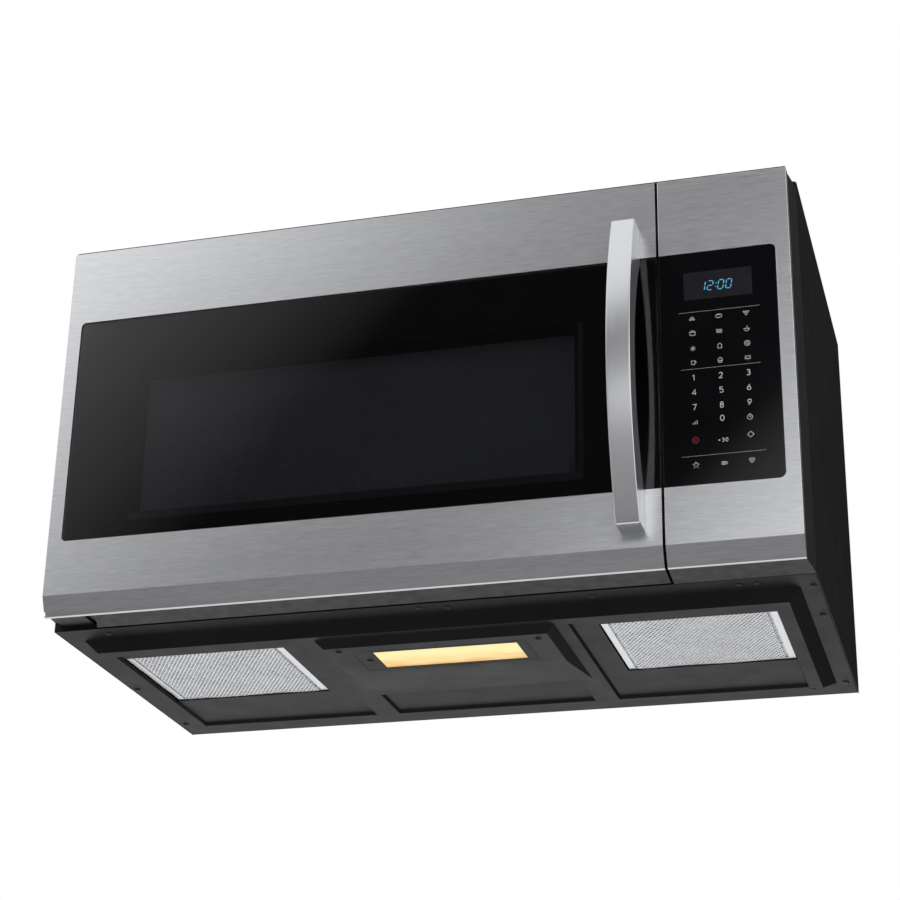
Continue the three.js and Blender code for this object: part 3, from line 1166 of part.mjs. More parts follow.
function rollerRing(at) {
  const ring = new THREE.Group();
  body.add(ring);
  const ringZ = CAVITY_FLOOR + ROLLER_R - RING_THICK / 2;
  const ringOuter = ROLLER_AT - ROLLER_W / 2 - SHEET;
  let hoop = tube('z', ringOuter, ringOuter - RING_WIDTH, ringZ, ringZ + RING_THICK, at, 48);
  for (let i = 0; i < ROLLERS; i += 1) {
    const axle = new THREE.CylinderGeometry(AXLE_R, AXLE_R, ROLLER_W + AXLE_SPARE, 16);
    axle.rotateZ(-Math.PI / 2);
    axle.translate(ROLLER_AT, 0, CAVITY_FLOOR + ROLLER_R);
    hoop = hoop.add(roundTable(axle, i, ROLLERS));
  }
  piece('roller_ring', hoop, WHITE_PLASTIC, ring);
  for (let i = 0; i < ROLLERS; i += 1) {
    const roller = new THREE.Group();
    body.add(roller);
    const outline = new THREE.Shape();
    outline.absarc(0, 0, ROLLER_R - GAP / 2, 0, Math.PI * 2);
    const bore = new THREE.Path();
    bore.absarc(0, 0, AXLE_R + AXLE_RUNNING, 0, Math.PI * 2);
    outline.holes.push(bore);
    const wheel = new THREE.ExtrudeGeometry(outline, { depth: ROLLER_W, bevelEnabled: false, curveSegments: 12 });
    wheel.translate(0, 0, -ROLLER_W / 2);
    wheel.rotateY(Math.PI / 2);
    wheel.translate(ROLLER_AT, 0, CAVITY_FLOOR + ROLLER_R + GAP / 2);
    piece(`roller_${i + 1}`, roundTable(wheel, i, ROLLERS), WHITE_PLASTIC, roller);
  }
}

function turntable() {
  const at = [CAVITY_X, TRAY_Y];
  turntableMotor(at);
  couplerAndTray(at);
  rollerRing(at);
}

// ---------------------------------------------------------------- steel skins of the front
// Side profile of the front as (y, z), grown inwards by a wall: flat face, lower chamfer, underside.
function faceProfile(inset, back) {
  return [[inset, FACE_TOP - inset], [inset, CHAMFER_TOP],
    [CHAMFER_BACK + inset * CHAMFER_OFFSET, FACE_BOTTOM + inset],
    [back, FACE_BOTTOM + inset - UNDER_FALL], [back, FACE_TOP - inset]];
}

function steelSkin(name, x0, x1, cutFrom, cutTo, parent, notches = []) {
  let skin = prism('x', faceProfile(0, RETURN_DEPTH), x0, x1);
  skin = skin.subtract(prism('x', faceProfile(SHEET, RETURN_DEPTH + PAST), x0 + SHEET, x1 - SHEET));
  skin = skin.subtract(box(cutFrom, cutTo, -PAST, RETURN_DEPTH + PAST, GLASS_BOTTOM - GAP, GLASS_TOP + GAP));
  for (const notch of notches) skin = skin.subtract(notch);
  piece(name, skin, STEEL, parent);
}

// The moulding behind a steel skin: it fills the skin's hollow, then flares to the case at its back.
function moulding(x0, x1, flareX0, flareX1, end) {
  const back = RETURN_DEPTH + GAP;
  let filled = prism('x', faceProfile(FRAME_FRONT, RETURN_DEPTH), x0 + FRAME_FRONT, x1 - FRAME_FRONT);
  const corners = [];
  for (const [z, zEnd] of [[FACE_BOTTOM - FRAME_DROP, GAP], [FACE_TOP - GAP, FACE_TOP - GAP]]) {
    corners.push([x0, back, z], [x1, back, z]);
    corners.push([flareX0, end, zEnd], [flareX1, end, zEnd]);
  }
  filled = filled.add(block(corners));
  return filled.add(box(x0 + NECK_EDGE, x1 - NECK_EDGE, RETURN_DEPTH - SHEET, back + SHEET,
    FACE_BOTTOM + NECK_EDGE + NECK_RISE, FACE_TOP - NECK_EDGE));
}

// ---------------------------------------------------------------- door
const HINGE_X = fromLeft(HINGE_X_FROM_LEFT);
const FRAME_FRONT = SHEET + GAP;
const DOOR_GLASS_LEFT = DOOR_LEFT + DOOR_GLASS_MARGIN;
const WINDOW_X0 = CAVITY_X0 + WINDOW_SIDE;
const WINDOW_X1 = CAVITY_X1 - WINDOW_SIDE;
const WINDOW_BOTTOM = CAVITY_FLOOR + WINDOW_RISE;
const WINDOW_TOP = CAVITY_Z1 - WINDOW_DROP;
const SCREEN_X0 = CAVITY_X0 - SCREEN_MARGIN_X;
const SCREEN_X1 = CAVITY_X1 + SCREEN_MARGIN_X;
const SCREEN_Z0 = CAVITY_FLOOR - SCREEN_MARGIN_Z;
const SCREEN_Z1 = CAVITY_Z1 + SCREEN_MARGIN_Z;
const LATCH_LOW = HOOK_LOW - LATCH_END;
const LATCH_HIGH = HOOK_HIGH + LATCH_END;

// Slots for the hinge plates, with the sweep of the leaf and the bore of the pin.
function hingeRoom(frame) {
  const topSlot = FACE_TOP - FRAME_FRONT - HINGE_PLATE - HINGE_SLOT_CLEAR;
  const lowSlot = FACE_BOTTOM + FRAME_FRONT + HINGE_PLATE + HINGE_SLOT_CLEAR;
  let cut = frame;
  for (const [z0, z1, pin0, pin1] of [[topSlot, CASE_H, topSlot - HINGE_PIN_REACH, CASE_H],
    [-PAST, lowSlot, -PAST, lowSlot + HINGE_PIN_REACH]]) {
    cut = cut.subtract(box(HINGE_X - HINGE_ROOM_OUT, HINGE_X + HINGE_LEAF_X1 + HINGE_ROOM_IN,
      HINGE_Y - HINGE_ROOM_FRONT, DOOR_BACK + PAST, z0, z1));
    cut = cut.subtract(rod('z', HINGE_SWING_R, z0, z1, [HINGE_X, HINGE_Y], 24));
    cut = cut.subtract(rod('z', HINGE_PIN_R + HINGE_BORE_CLEAR, pin0, pin1, [HINGE_X, HINGE_Y], 20));
  }
  return cut;
}

function doorFrame(parent) {
  let frame = moulding(DOOR_LEFT, DOOR_RIGHT, DOOR_LEFT - FRAME_FLARE, DOOR_RIGHT, DOOR_BACK);
  frame = frame.subtract(box(DOOR_GLASS_LEFT - GAP, DOOR_RIGHT + PAST, 0, GLASS_THICK + GAP,
    GLASS_BOTTOM - GAP, GLASS_TOP + GAP));
  const edge = FRAME_WINDOW_EDGE;
  frame = frame.subtract(box(WINDOW_X0 - edge, WINDOW_X1 + edge, 0, DOOR_BACK + PAST,
    WINDOW_BOTTOM - edge, WINDOW_TOP + edge));
  const ledge = SCREEN_LEDGE;
  frame = frame.subtract(box(SCREEN_X0 + ledge, SCREEN_X1 - ledge, GLASS_THICK + GAP + FRAME_WALL,
    SCREEN_Y + SHEET, SCREEN_Z0 + ledge, SCREEN_Z1 - ledge));
  for (const [z0, z1] of [[FACE_BOTTOM + HOLLOW_EDGE, SCREEN_Z0 - FRAME_WALL],
    [SCREEN_Z1 + FRAME_WALL, FACE_TOP - HOLLOW_EDGE]]) {
    frame = frame.subtract(box(HINGE_X + HOLLOW_FROM_HINGE, LATCH_X - HOLLOW_FROM_LATCH,
      RETURN_DEPTH + FRAME_WALL, DOOR_BACK + PAST, z0, z1));
  }
  frame = frame.subtract(box(SCREEN_X0 - GAP, SCREEN_X1 + GAP, SCREEN_Y - GAP, DOOR_BACK + PAST,
    SCREEN_Z0 - GAP, SCREEN_Z1 + GAP));
  const pocket = LATCH_POCKET / 2;
  frame = frame.subtract(box(LATCH_X - pocket, LATCH_X + pocket, SCREEN_Y, DOOR_BACK + PAST,
    LATCH_LOW - GAP, LATCH_HIGH + SPRING_L + 2 * GAP));
  piece('door_frame', hingeRoom(frame), BLACK_PLASTIC, parent);
}

// The skin's left return is notched where the hinge plates pass it.
function hingeNotches() {
  const levels = [[FACE_TOP - SHEET - HINGE_PLATE - NOTCH_SPARE, FACE_TOP - SHEET],
    [FACE_BOTTOM + SHEET, FACE_BOTTOM + SHEET + HINGE_PLATE + NOTCH_SPARE]];
  return levels.map(([z0, z1]) => box(DOOR_LEFT - PAST, DOOR_LEFT + SHEET + GAP, NOTCH_FRONT, RETURN_DEPTH + PAST,
    z0, z1));
}

function door(parent) {
  steelSkin('door_skin', DOOR_LEFT, DOOR_RIGHT, DOOR_GLASS_LEFT - GAP, DOOR_RIGHT + PAST, parent, hingeNotches());
  const r = DOOR_GLASS_RADIUS;
  const glass = roundedRectangle(DOOR_GLASS_LEFT, DOOR_RIGHT, GLASS_BOTTOM, GLASS_TOP,
    [r, GLASS_SEAM_RADIUS, GLASS_SEAM_RADIUS, r]);
  piece('door_glass', prism('y', glass, 0, GLASS_THICK, 4), BLACK_GLASS, parent);
  doorFrame(parent);
  const chokeFront = DOOR_BACK - CHOKE_THICK;
  let screen = box(SCREEN_X0, SCREEN_X1, SCREEN_Y, chokeFront - GAP, SCREEN_Z0, SCREEN_Z1);
  screen = screen.subtract(box(SCREEN_X0 + SHEET, SCREEN_X1 - SHEET, SCREEN_Y + SHEET, DOOR_BACK,
    SCREEN_Z0 + SHEET, SCREEN_Z1 - SHEET));
  piece('door_screen', screen, IRON, parent);
  const cover = roundedRectangle(SCREEN_X0, SCREEN_X1, SCREEN_Z0, SCREEN_Z1, Array(4).fill(CHOKE_RADIUS));
  let choke = prism('y', cover, chokeFront, DOOR_BACK, 3);
  choke = choke.subtract(box(WINDOW_X0, WINDOW_X1, 0, DOOR_BACK + PAST, WINDOW_BOTTOM, WINDOW_TOP));
  piece('choke_cover', choke, BLACK_PLASTIC, parent);
  const glassBack = chokeFront - GAP;
  const lap = INNER_GLASS_LAP;
  const inner = box(WINDOW_X0 - lap, WINDOW_X1 + lap, glassBack - INNER_GLASS_THICK, glassBack,
    WINDOW_BOTTOM - lap, WINDOW_TOP + lap);
  piece('door_inner_glass', inner, CLEAR_GLASS, parent);
}

const bowRadius = (half, rise) => (half * half + rise * rise) / (2 * rise);
const bowDrop = (radius, z) => radius - Math.sqrt(radius * radius - z * z);

// A bowed bar: its ends stand on the door, and the middle leaves room for the fingers.
function handle(parent) {
  const midZ = (HANDLE_BOTTOM + HANDLE_TOP) / 2;
  const halfZ = (HANDLE_TOP - HANDLE_BOTTOM) / 2;
  const frontBow = bowRadius(halfZ, HANDLE_FRONT - HANDLE_END_DEPTH);
  const backHalf = halfZ - HANDLE_PAD;
  const backBow = bowRadius(backHalf, HANDLE_BACK);
  const side = [];
  for (let i = 0; i <= HANDLE_STEPS; i += 1) {
    const z = -halfZ + (2 * halfZ * i) / HANDLE_STEPS;
    side.push([-HANDLE_FRONT + bowDrop(frontBow, z), midZ + z]);
  }
  side.push([-GAP, HANDLE_TOP]);
  for (let i = 0; i <= HANDLE_STEPS; i += 1) {
    const z = backHalf - (2 * backHalf * i) / HANDLE_STEPS;
    side.push([-HANDLE_BACK + bowDrop(backBow, z) - GAP, midZ + z]);
  }
  side.push([-GAP, HANDLE_BOTTOM]);
  const x = SPLIT_X - HANDLE_FROM_SPLIT;
  piece('door_handle', prism('x', side, x - HANDLE_W / 2, x + HANDLE_W / 2), ALUMINIUM, parent);
}

// Hinge brackets are fixed to the cavity flange; their pins stand in the door frame.
function hinge(name, top) {
  const z1 = top ? FACE_TOP - FRAME_FRONT : FACE_BOTTOM + FRAME_FRONT + HINGE_PLATE;
  const z0 = z1 - HINGE_PLATE;
  const leaf = top ? [z0 - HINGE_LEAF, z1] : [z0, z1 + HINGE_LEAF];
  const y1 = FRONT_DEPTH - GAP;
  const pin = top ? [z0 - HINGE_PIN_REACH, z1] : [z0, z1 + HINGE_PIN_REACH];
  const bracket = box(HINGE_X - HINGE_EYE, HINGE_X + HINGE_LEAF_X1, HINGE_Y - HINGE_EYE, y1, z0, z1)
    .add(box(HINGE_X + HINGE_LEAF_X0, HINGE_X + HINGE_LEAF_X1, y1 - HINGE_LEAF_THICK, y1, ...leaf))
    .add(rod('z', HINGE_PIN_R, pin[0], pin[1], [HINGE_X, HINGE_Y], 20));
  piece(name, bracket, ZINC);
}

// ---------------------------------------------------------------- latch and interlock
const LATCH_BODY_Y0 = FLANGE_BACK + GAP;
const LATCH_BODY_Y1 = LATCH_BODY_Y0 + LATCH_BODY_D;
const LEVER_Y = LATCH_BODY_Y0 + LEVER_SET;
const LEVER_PIVOT_X = LATCH_X + LEVER_ASIDE;
const HOOK_TIP = LEVER_Y - HOOK_TO_LEVER;
const MONITOR_Z = (HOOK_LOW + HOOK_HIGH) / 2;

function doorLatch(doorParent) {
  const latch = new THREE.Group();
  doorParent.add(latch);
  const half = LATCH_THICK / 2;
  const barFront = SCREEN_Y + LATCH_BAR_SET;
  const barBack = DOOR_BACK - LATCH_BAR_SHORT;
  let bar = box(LATCH_X - half, LATCH_X + half, barFront, barBack, LATCH_LOW, LATCH_HIGH);
  for (const z of [HOOK_LOW, HOOK_HIGH]) {
    const [root, low, high] = [barFront + HOOK_ROOT, z - HOOK_H / 2, z + HOOK_H / 2];
    const nib = low - HOOK_NIB;
    const hook = [[root, low], [HOOK_TIP - HOOK_NIB_BACK, low], [HOOK_TIP - HOOK_NIB_BACK + SHEET, nib],
      [HOOK_TIP - HOOK_NIB, nib], [HOOK_TIP, z], [HOOK_TIP - HOOK_NIB - SHEET, high], [root, high]];
    bar = bar.add(prism('x', hook, LATCH_X - half, LATCH_X + half));
  }
  piece('door_latch', bar, BLACK_PLASTIC, latch);
  const springZ = LATCH_HIGH + GAP;
  piece('latch_spring', rod('z', SPRING_R, springZ, springZ + SPRING_L, [LATCH_X, (barFront + barBack) / 2], 12),
    ZINC, latch);
}

function latchBody() {
  const [x0, x1] = [LATCH_X - LATCH_BODY_HALF, LATCH_X + LATCH_BODY_HALF];
  const [y0, y1] = [LATCH_BODY_Y0, LATCH_BODY_Y1];
  let shell = box(x0, x1, y0, y1, HOOK_LOW - LATCH_BODY_END, HOOK_HIGH + LATCH_BODY_END);
  for (const z of [HOOK_LOW, HOOK_HIGH]) {
    shell = shell.subtract(box(LATCH_X - LATCH_SLOT_HALF, LATCH_X + LATCH_SLOT_HALF, y0 - PAST, y1 + PAST,
      z - HOOK_ROOM, z + HOOK_ROOM));
  }
  shell = shell.subtract(box(LATCH_X - LATCH_SLOT_HALF, x1 - SHEET, LEVER_Y - LEVER_ROOM, y1 + PAST,
    HOOK_LOW - HOOK_ROOM, HOOK_LOW + HOOK_ROOM));
  const bore = HOOK_ROOM + LEVER_PIN_REACH + SHEET;
  shell = shell.subtract(rod('z', LEVER_PIN_R + GAP, HOOK_LOW - bore, HOOK_LOW + bore,
    [LEVER_PIVOT_X, LEVER_Y], 16));
  const wall = LATCH_BODY_WALL;
  for (const [z0, z1] of [[HOOK_LOW + HOOK_ROOM + LATCH_BODY_RIB, MONITOR_Z - SWITCH_HALF - LATCH_BODY_RIB],
    [MONITOR_Z + SWITCH_HALF + LATCH_BODY_RIB, HOOK_HIGH - HOOK_ROOM - LATCH_BODY_RIB]]) {
    shell = shell.subtract(box(x0 + wall, x1 - wall, y0 + wall, y1 + PAST, z0, z1));
  }
  shell = shell.subtract(box(LATCH_X - wall, LATCH_X + wall, y1 - 2 * wall, y1 + PAST,
    MONITOR_Z - wall, MONITOR_Z + wall));
  piece('latch_body', shell, WHITE_PLASTIC);
}

function interlockLever() {
  const leverGroup = new THREE.Group();
  body.add(leverGroup);
  const reach = HOOK_ROOM + LEVER_PIN_REACH;
  const lever = box(LATCH_X - LEVER_PAST, LEVER_PIVOT_X, LEVER_Y - SHEET, LEVER_Y + SHEET,
    HOOK_LOW - LEVER_HALF, HOOK_LOW + LEVER_HALF)
    .add(rod('z', LEVER_PIN_R, HOOK_LOW - reach, HOOK_LOW + reach, [LEVER_PIVOT_X, LEVER_Y], 16));
  piece('interlock_lever', lever, BLACK_PLASTIC, leverGroup);
}

function interlockSwitches() {
  const y0 = LATCH_BODY_Y1 + GAP;
  const y1 = y0 + SWITCH_D;
  for (const [name, z] of [['lower', HOOK_LOW], ['monitor', MONITOR_Z], ['upper', HOOK_HIGH]]) {
    let unit = box(LATCH_X - SWITCH_LEFT, LATCH_X + SWITCH_RIGHT, y0, y1, z - SWITCH_HALF, z + SWITCH_HALF);
    unit = unit.add(box(LATCH_X - PLUNGER_HALF, LATCH_X + PLUNGER_HALF, y0 - PLUNGER_OUT, y0 + SHEET,
      z - PLUNGER_HALF, z + PLUNGER_HALF));
    for (const step of [-1, 0, 1]) {
      const tabZ = z + step * SWITCH_TAB_PITCH;
      unit = unit.add(box(LATCH_X - SWITCH_TAB_HALF, LATCH_X + SWITCH_TAB_HALF, y1 - SHEET, y1 + SWITCH_TAB_L,
        tabZ - SHEET / 2, tabZ + SHEET / 2));
    }
    piece(`interlock_switch_${name}`, unit, BLACK_PLASTIC);
  }
}

// ---------------------------------------------------------------- control panel
const PANEL_GLASS_RIGHT = PANEL_RIGHT - PANEL_GLASS_MARGIN;
const DISPLAY_X = PANEL_LEFT + DISPLAY_FROM_LEFT;
const DISPLAY_Z = GLASS_TOP - DISPLAY_FROM_TOP;
const DISPLAY_Y = GLASS_THICK + GAP;
const BOARD_Y = DISPLAY_Y + DISPLAY_D + GAP;
const BOARD_X0 = PANEL_LEFT + PANEL_WALL + GAP;
const BOARD_X1 = PANEL_RIGHT - PANEL_WALL - GAP;
const BOARD_Z0 = GLASS_BOTTOM + BOARD_RISE;
const BOARD_Z1 = GLASS_TOP - BOARD_DROP;

function controlHousing() {
  const end = FRONT_DEPTH - GAP;
  let housing = moulding(PANEL_LEFT, PANEL_RIGHT, PANEL_LEFT, HALF - GAP, end);
  housing = housing.subtract(box(PANEL_LEFT - PAST, PANEL_GLASS_RIGHT + GAP, 0, GLASS_THICK + GAP,
    GLASS_BOTTOM - GAP, GLASS_TOP + GAP));
  housing = housing.subtract(box(PANEL_LEFT + PANEL_WALL, PANEL_RIGHT - PANEL_WALL, PANEL_FACE, end + PAST,
    PANEL_END_WALL, FACE_TOP - PANEL_END_WALL));
  housing = housing.subtract(box(DISPLAY_X - DISPLAY_W / 2 - GAP, DISPLAY_X + DISPLAY_W / 2 + GAP,
    0, PANEL_FACE + PAST, DISPLAY_Z - DISPLAY_H / 2 - GAP, DISPLAY_Z + DISPLAY_H / 2 + GAP));
  piece('control_housing', housing, BLACK_PLASTIC);
}

// The board stands on four pillars behind the display, with its transformer, two relays, a chip and a buzzer.
function controlBoard() {
  const face = BOARD_Y + SHEET;
  let board = box(BOARD_X0, BOARD_X1, BOARD_Y, BOARD_Y + BOARD_THICK, BOARD_Z0, BOARD_Z1);
  const part = ([fromSide, fromLow], width, height, deep) => box(BOARD_X0 + fromSide,
    BOARD_X0 + fromSide + width, face, BOARD_Y + deep, BOARD_Z0 + fromLow, BOARD_Z0 + fromLow + height);
  board = board.add(part(SMALL_TRANSFORMER_AT, SMALL_TRANSFORMER, SMALL_TRANSFORMER, SMALL_TRANSFORMER_D));
  for (const fromSide of RELAYS_FROM_SIDE) board = board.add(part([fromSide, RELAY_RISE], RELAY_W, RELAY_H, RELAY_W));
  board = board.add(part(CHIP_AT, CHIP, CHIP, CHIP_THICK));
  const [buzzerX, buzzerZ] = [BOARD_X0 + BUZZER_AT[0], BOARD_Z0 + BUZZER_AT[1]];
  board = board.add(rod('y', BUZZER_R, face, BOARD_Y + BUZZER_D, [buzzerX, buzzerZ], 16));
  const [low, high] = [BOARD_Z0 + PILLAR_EDGE, BOARD_Z1 - PILLAR_EDGE];
  for (const z of [low, high]) {
    for (const x of [BOARD_X0 + PILLAR_EDGE, BOARD_X1 - PILLAR_EDGE]) {
      board = board.add(rod('y', PILLAR_R, PANEL_FACE + GAP, face, [x, z], 10));
    }
  }
  piece('control_board', board, BOARD);
}

function controlPanel() {
  steelSkin('control_fascia', PANEL_LEFT, PANEL_RIGHT, PANEL_LEFT - PAST, PANEL_GLASS_RIGHT + GAP, body);
  const r = PANEL_GLASS_RADIUS;
  const glass = roundedRectangle(PANEL_LEFT, PANEL_GLASS_RIGHT, GLASS_BOTTOM, GLASS_TOP,
    [GLASS_SEAM_RADIUS, r, r, GLASS_SEAM_RADIUS]);
  piece('control_glass', prism('y', glass, 0, GLASS_THICK, 4), BLACK_GLASS);
  controlHousing();
  piece('display_module', box(DISPLAY_X - DISPLAY_W / 2, DISPLAY_X + DISPLAY_W / 2,
    DISPLAY_Y, DISPLAY_Y + DISPLAY_D, DISPLAY_Z - DISPLAY_H / 2, DISPLAY_Z + DISPLAY_H / 2), BLACK_GLASS);
  controlBoard();
}

// ---------------------------------------------------------------- the whole oven
const TURN_MOTOR_HOLE = TURN_MOTOR_HALF + TURN_MOTOR_EAR + TURN_MOTOR_HOLE_CLEAR;

outerCase();
backPlate();
deck('lower_deck', LOWER_DECK, [box(CAVITY_X - TURN_MOTOR_HOLE, CAVITY_X + TURN_MOTOR_HOLE,
  TRAY_Y - TURN_MOTOR_HOLE, TRAY_Y + TURN_MOTOR_HOLE, LOWER_DECK - PAST, LOWER_DECK + PAST)],
BLACK_PAINT, deckSkirt());
deck('upper_deck', UPPER_DECK, [], ZINC);
cordGland();
basePlate();
for (const [name, side] of [['grease_filter_left', -1], ['grease_filter_right', 1]]) {
  const carrier = new THREE.Group();
  body.add(carrier);
  greaseFilter(name, side, carrier);
}
cooktopLamp();
ventGrille();
ventBlower();
ovenCavity();
magnetronAndGuide();
powerParts();
coolingFan();
cavityLamp();
thermostats();
turntable();
const doorGroup = new THREE.Group();
body.add(doorGroup);
door(doorGroup);
handle(doorGroup);
doorLatch(doorGroup);
hinge('hinge_top', true);
hinge('hinge_bottom', false);
latchBody();
interlockLever();
interlockSwitches();
controlPanel();

body.position.set(0, -BODY_DEPTH, -HANG_HEIGHT);
const oven = new THREE.Group();
oven.add(body);
export default oven;
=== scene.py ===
import json
import math
import random

import bmesh
import bpy
from mathutils import Euler, Matrix, Vector, geometry
from mathutils.bvhtree import BVHTree

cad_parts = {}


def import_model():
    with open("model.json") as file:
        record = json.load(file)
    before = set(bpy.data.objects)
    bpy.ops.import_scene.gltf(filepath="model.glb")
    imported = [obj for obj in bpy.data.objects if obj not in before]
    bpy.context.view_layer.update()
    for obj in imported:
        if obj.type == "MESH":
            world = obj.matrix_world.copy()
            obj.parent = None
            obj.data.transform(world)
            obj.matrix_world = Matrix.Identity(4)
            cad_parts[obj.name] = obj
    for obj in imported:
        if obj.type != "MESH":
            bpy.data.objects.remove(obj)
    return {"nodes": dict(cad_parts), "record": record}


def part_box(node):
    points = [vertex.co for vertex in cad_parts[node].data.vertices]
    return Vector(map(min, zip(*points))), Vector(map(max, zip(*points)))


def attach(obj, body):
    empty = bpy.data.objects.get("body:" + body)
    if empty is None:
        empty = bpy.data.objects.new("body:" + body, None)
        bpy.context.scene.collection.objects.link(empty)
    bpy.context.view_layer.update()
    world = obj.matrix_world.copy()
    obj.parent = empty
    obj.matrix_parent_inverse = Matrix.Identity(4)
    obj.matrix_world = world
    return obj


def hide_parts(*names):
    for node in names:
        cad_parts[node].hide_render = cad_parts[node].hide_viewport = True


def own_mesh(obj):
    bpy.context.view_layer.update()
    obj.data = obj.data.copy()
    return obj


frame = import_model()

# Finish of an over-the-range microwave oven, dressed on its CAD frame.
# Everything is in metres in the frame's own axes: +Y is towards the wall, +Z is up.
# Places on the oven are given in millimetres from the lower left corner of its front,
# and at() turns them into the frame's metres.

MM = 0.001
UP, BACK = Vector((0, 0, 1)), Vector((0, 1, 0))
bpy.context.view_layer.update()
CASE_LOW, CASE_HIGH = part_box("outer_case")
CORNER = Vector((CASE_LOW.x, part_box("door_skin")[0].y, CASE_LOW.z))
SLOT_OF = {part["node"]: part["material_slot"] for part in frame["record"]["subparts"]}
BODY_OF = {
    node: body for body, nodes in frame["record"]["behaviour"]["bodies"].items() for node in nodes
}


def at(x, y, z):
    """The point x to the right, y behind and z above the front's lower left corner, in mm."""
    return CORNER + Vector((x, y, z)) * MM


def srgb(code):
    """The linear colour of a #rrggbb code."""
    channels = [int(code[i:i + 2], 16) / 255 for i in (1, 3, 5)]
    linear = [c / 12.92 if c <= 0.04045 else ((c + 0.055) / 1.055) ** 2.4 for c in channels]
    return (*linear, 1.0)


# ---------------------------------------------------------------- finishes

# Where most of a noise's values lie, between 0 and 1.
NOISE_LOW, NOISE_HIGH = 0.3, 0.7
# The sockets of a colour Mix node, which share their names with those of its other types.
MIX_FACTOR, MIX_FIRST, MIX_SECOND, MIX_RESULT = 0, 6, 7, 2


class Finish:
    """A principled material whose patterns come from textures in the object's own space."""

    def __init__(self, name, **constants):
        self.material = bpy.data.materials.new(name)
        self.material.use_nodes = True
        self.nodes = self.material.node_tree.nodes
        self.links = self.material.node_tree.links
        self.shader = self.nodes["Principled BSDF"]
        self.place = self.nodes.new("ShaderNodeTexCoord").outputs["Object"]
        for socket, value in constants.items():
            self.shader.inputs[socket.replace("_", " ")].default_value = value

    def add(self, kind, inputs, **settings):
        """A node of that kind. Its inputs take numbers, vectors or other nodes' outputs."""
        node = self.nodes.new("ShaderNode" + kind)
        for key, value in settings.items():
            setattr(node, key, value)
        for key, value in inputs.items():
            if isinstance(value, bpy.types.NodeSocket):
                self.links.new(value, node.inputs[key])
            else:
                node.inputs[key].default_value = value
        return node

    def grain(self, scale, detail=2.0, stretch=(1, 1, 1)):
        """Noise with that many features to the metre, packed by stretch along each axis."""
        place = self.add("Mapping", {"Vector": self.place, "Scale": stretch}).outputs[0]
        return self.add("TexNoise", {"Vector": place, "Scale": scale, "Detail": detail}).outputs[0]

    def cells(self, scale, **settings):
        """Voronoi cells, that many to the metre: the distance from each cell's middle."""
        return self.add("TexVoronoi", {"Vector": self.place, "Scale": scale}, **settings).outputs[0]

    def ranged(self, value, low, high, new_low=0.0, new_high=1.0):
        """The value carried from one range to another, and held at its ends."""
        inputs = {"Value": value, "From Min": low, "From Max": high, "To Min": new_low, "To Max": new_high}
        return self.add("MapRange", inputs).outputs[0]

    def calc(self, operation, first, second):
        return self.add("Math", {0: first, 1: second}, operation=operation).outputs[0]

    def blended(self, first, share, second):
        """The first pattern times its share, plus the second times what is left."""
        scaled = self.calc("MULTIPLY", first, share)
        return self.calc("ADD", scaled, self.calc("MULTIPLY", second, 1 - share))

    def axis(self, name, vector=None):
        """One component of a vector, or of the place on the object."""
        return self.add("SeparateXYZ", {0: vector or self.place}).outputs[name]

    def mixed(self, factor, first, second, blend="MIX"):
        inputs = {MIX_FACTOR: factor, MIX_FIRST: first, MIX_SECOND: second}
        return self.add("Mix", inputs, data_type="RGBA", blend_type=blend).outputs[MIX_RESULT]

    def shaded(self, value, dark, light, low=NOISE_LOW, high=NOISE_HIGH):
        """A colour between two codes as value goes from low to high."""
        return self.mixed(self.ranged(value, low, high), srgb(dark), srgb(light))

    def use(self, socket, value):
        self.links.new(value, self.shader.inputs[socket])

    def show(self, shader):
        """Takes another shader in place of the principled one."""
        self.links.new(shader.outputs[0], self.nodes["Material Output"].inputs["Surface"])

    def colour(self, *shading):
        self.use("Base Color", self.shaded(*shading))

    def rough(self, value, smooth, coarse):
        self.use("Roughness", self.ranged(value, NOISE_LOW, NOISE_HIGH, smooth, coarse))

    def bump(self, height, depth, strength):
        """Adds relief of that depth in millimetres on top of any relief there is."""
        inputs = {"Height": height, "Distance": depth * MM, "Strength": strength}
        earlier = self.shader.inputs["Normal"].links
        if earlier:
            inputs["Normal"] = earlier[0].from_socket
        self.use("Normal", self.add("Bump", inputs).outputs[0])


def brushed(name, dark, light, along, **constants):
    """Brushed metal: short fine scratches along one axis, over faint longer ones."""
    finish = Finish(name, Metallic=1.0, **constants)
    fine, faint = [1000] * 3, [300] * 3
    fine["XYZ".index(along)] = 55
    faint["XYZ".index(along)] = 12
    scratch = finish.grain(1, 3, fine)
    both = finish.blended(scratch, 0.78, finish.grain(1, 2, faint))
    finish.colour(both, dark, light)
    finish.rough(both, 0.29, 0.33)
    finish.bump(scratch, 0.012, 0.2)
    return finish.material


def stainless():
    return brushed("brushed_stainless", "#c6c7ca", "#dddee1", "X", Anisotropic=0.3)


def handle_metal():
    return brushed("handle_satin", "#d6d7da", "#dddee1", "Z")


def black_paint():
    """Satin black paint on steel sheet, with the sheet's slow ripple under it."""
    finish = Finish("satin_black_paint", Specular_IOR_Level=0.09)
    finish.colour(finish.grain(14, 4), "#18191b", "#1e1f21")
    finish.rough(finish.grain(30, 2), 0.42, 0.48)
    finish.bump(finish.grain(4, 1), 1, 0.08)
    finish.bump(finish.grain(420, 1), 0.02, 0.15)
    return finish.material


def black_plastic():
    """Moulded black plastic with a fine grain."""
    finish = Finish("grained_black_plastic", Specular_IOR_Level=0.4)
    finish.colour(finish.grain(40, 3), "#151618", "#1c1d1f")
    finish.rough(finish.grain(90), 0.42, 0.56)
    finish.bump(finish.cells(1300), 0.04, 0.5)
    return finish.material


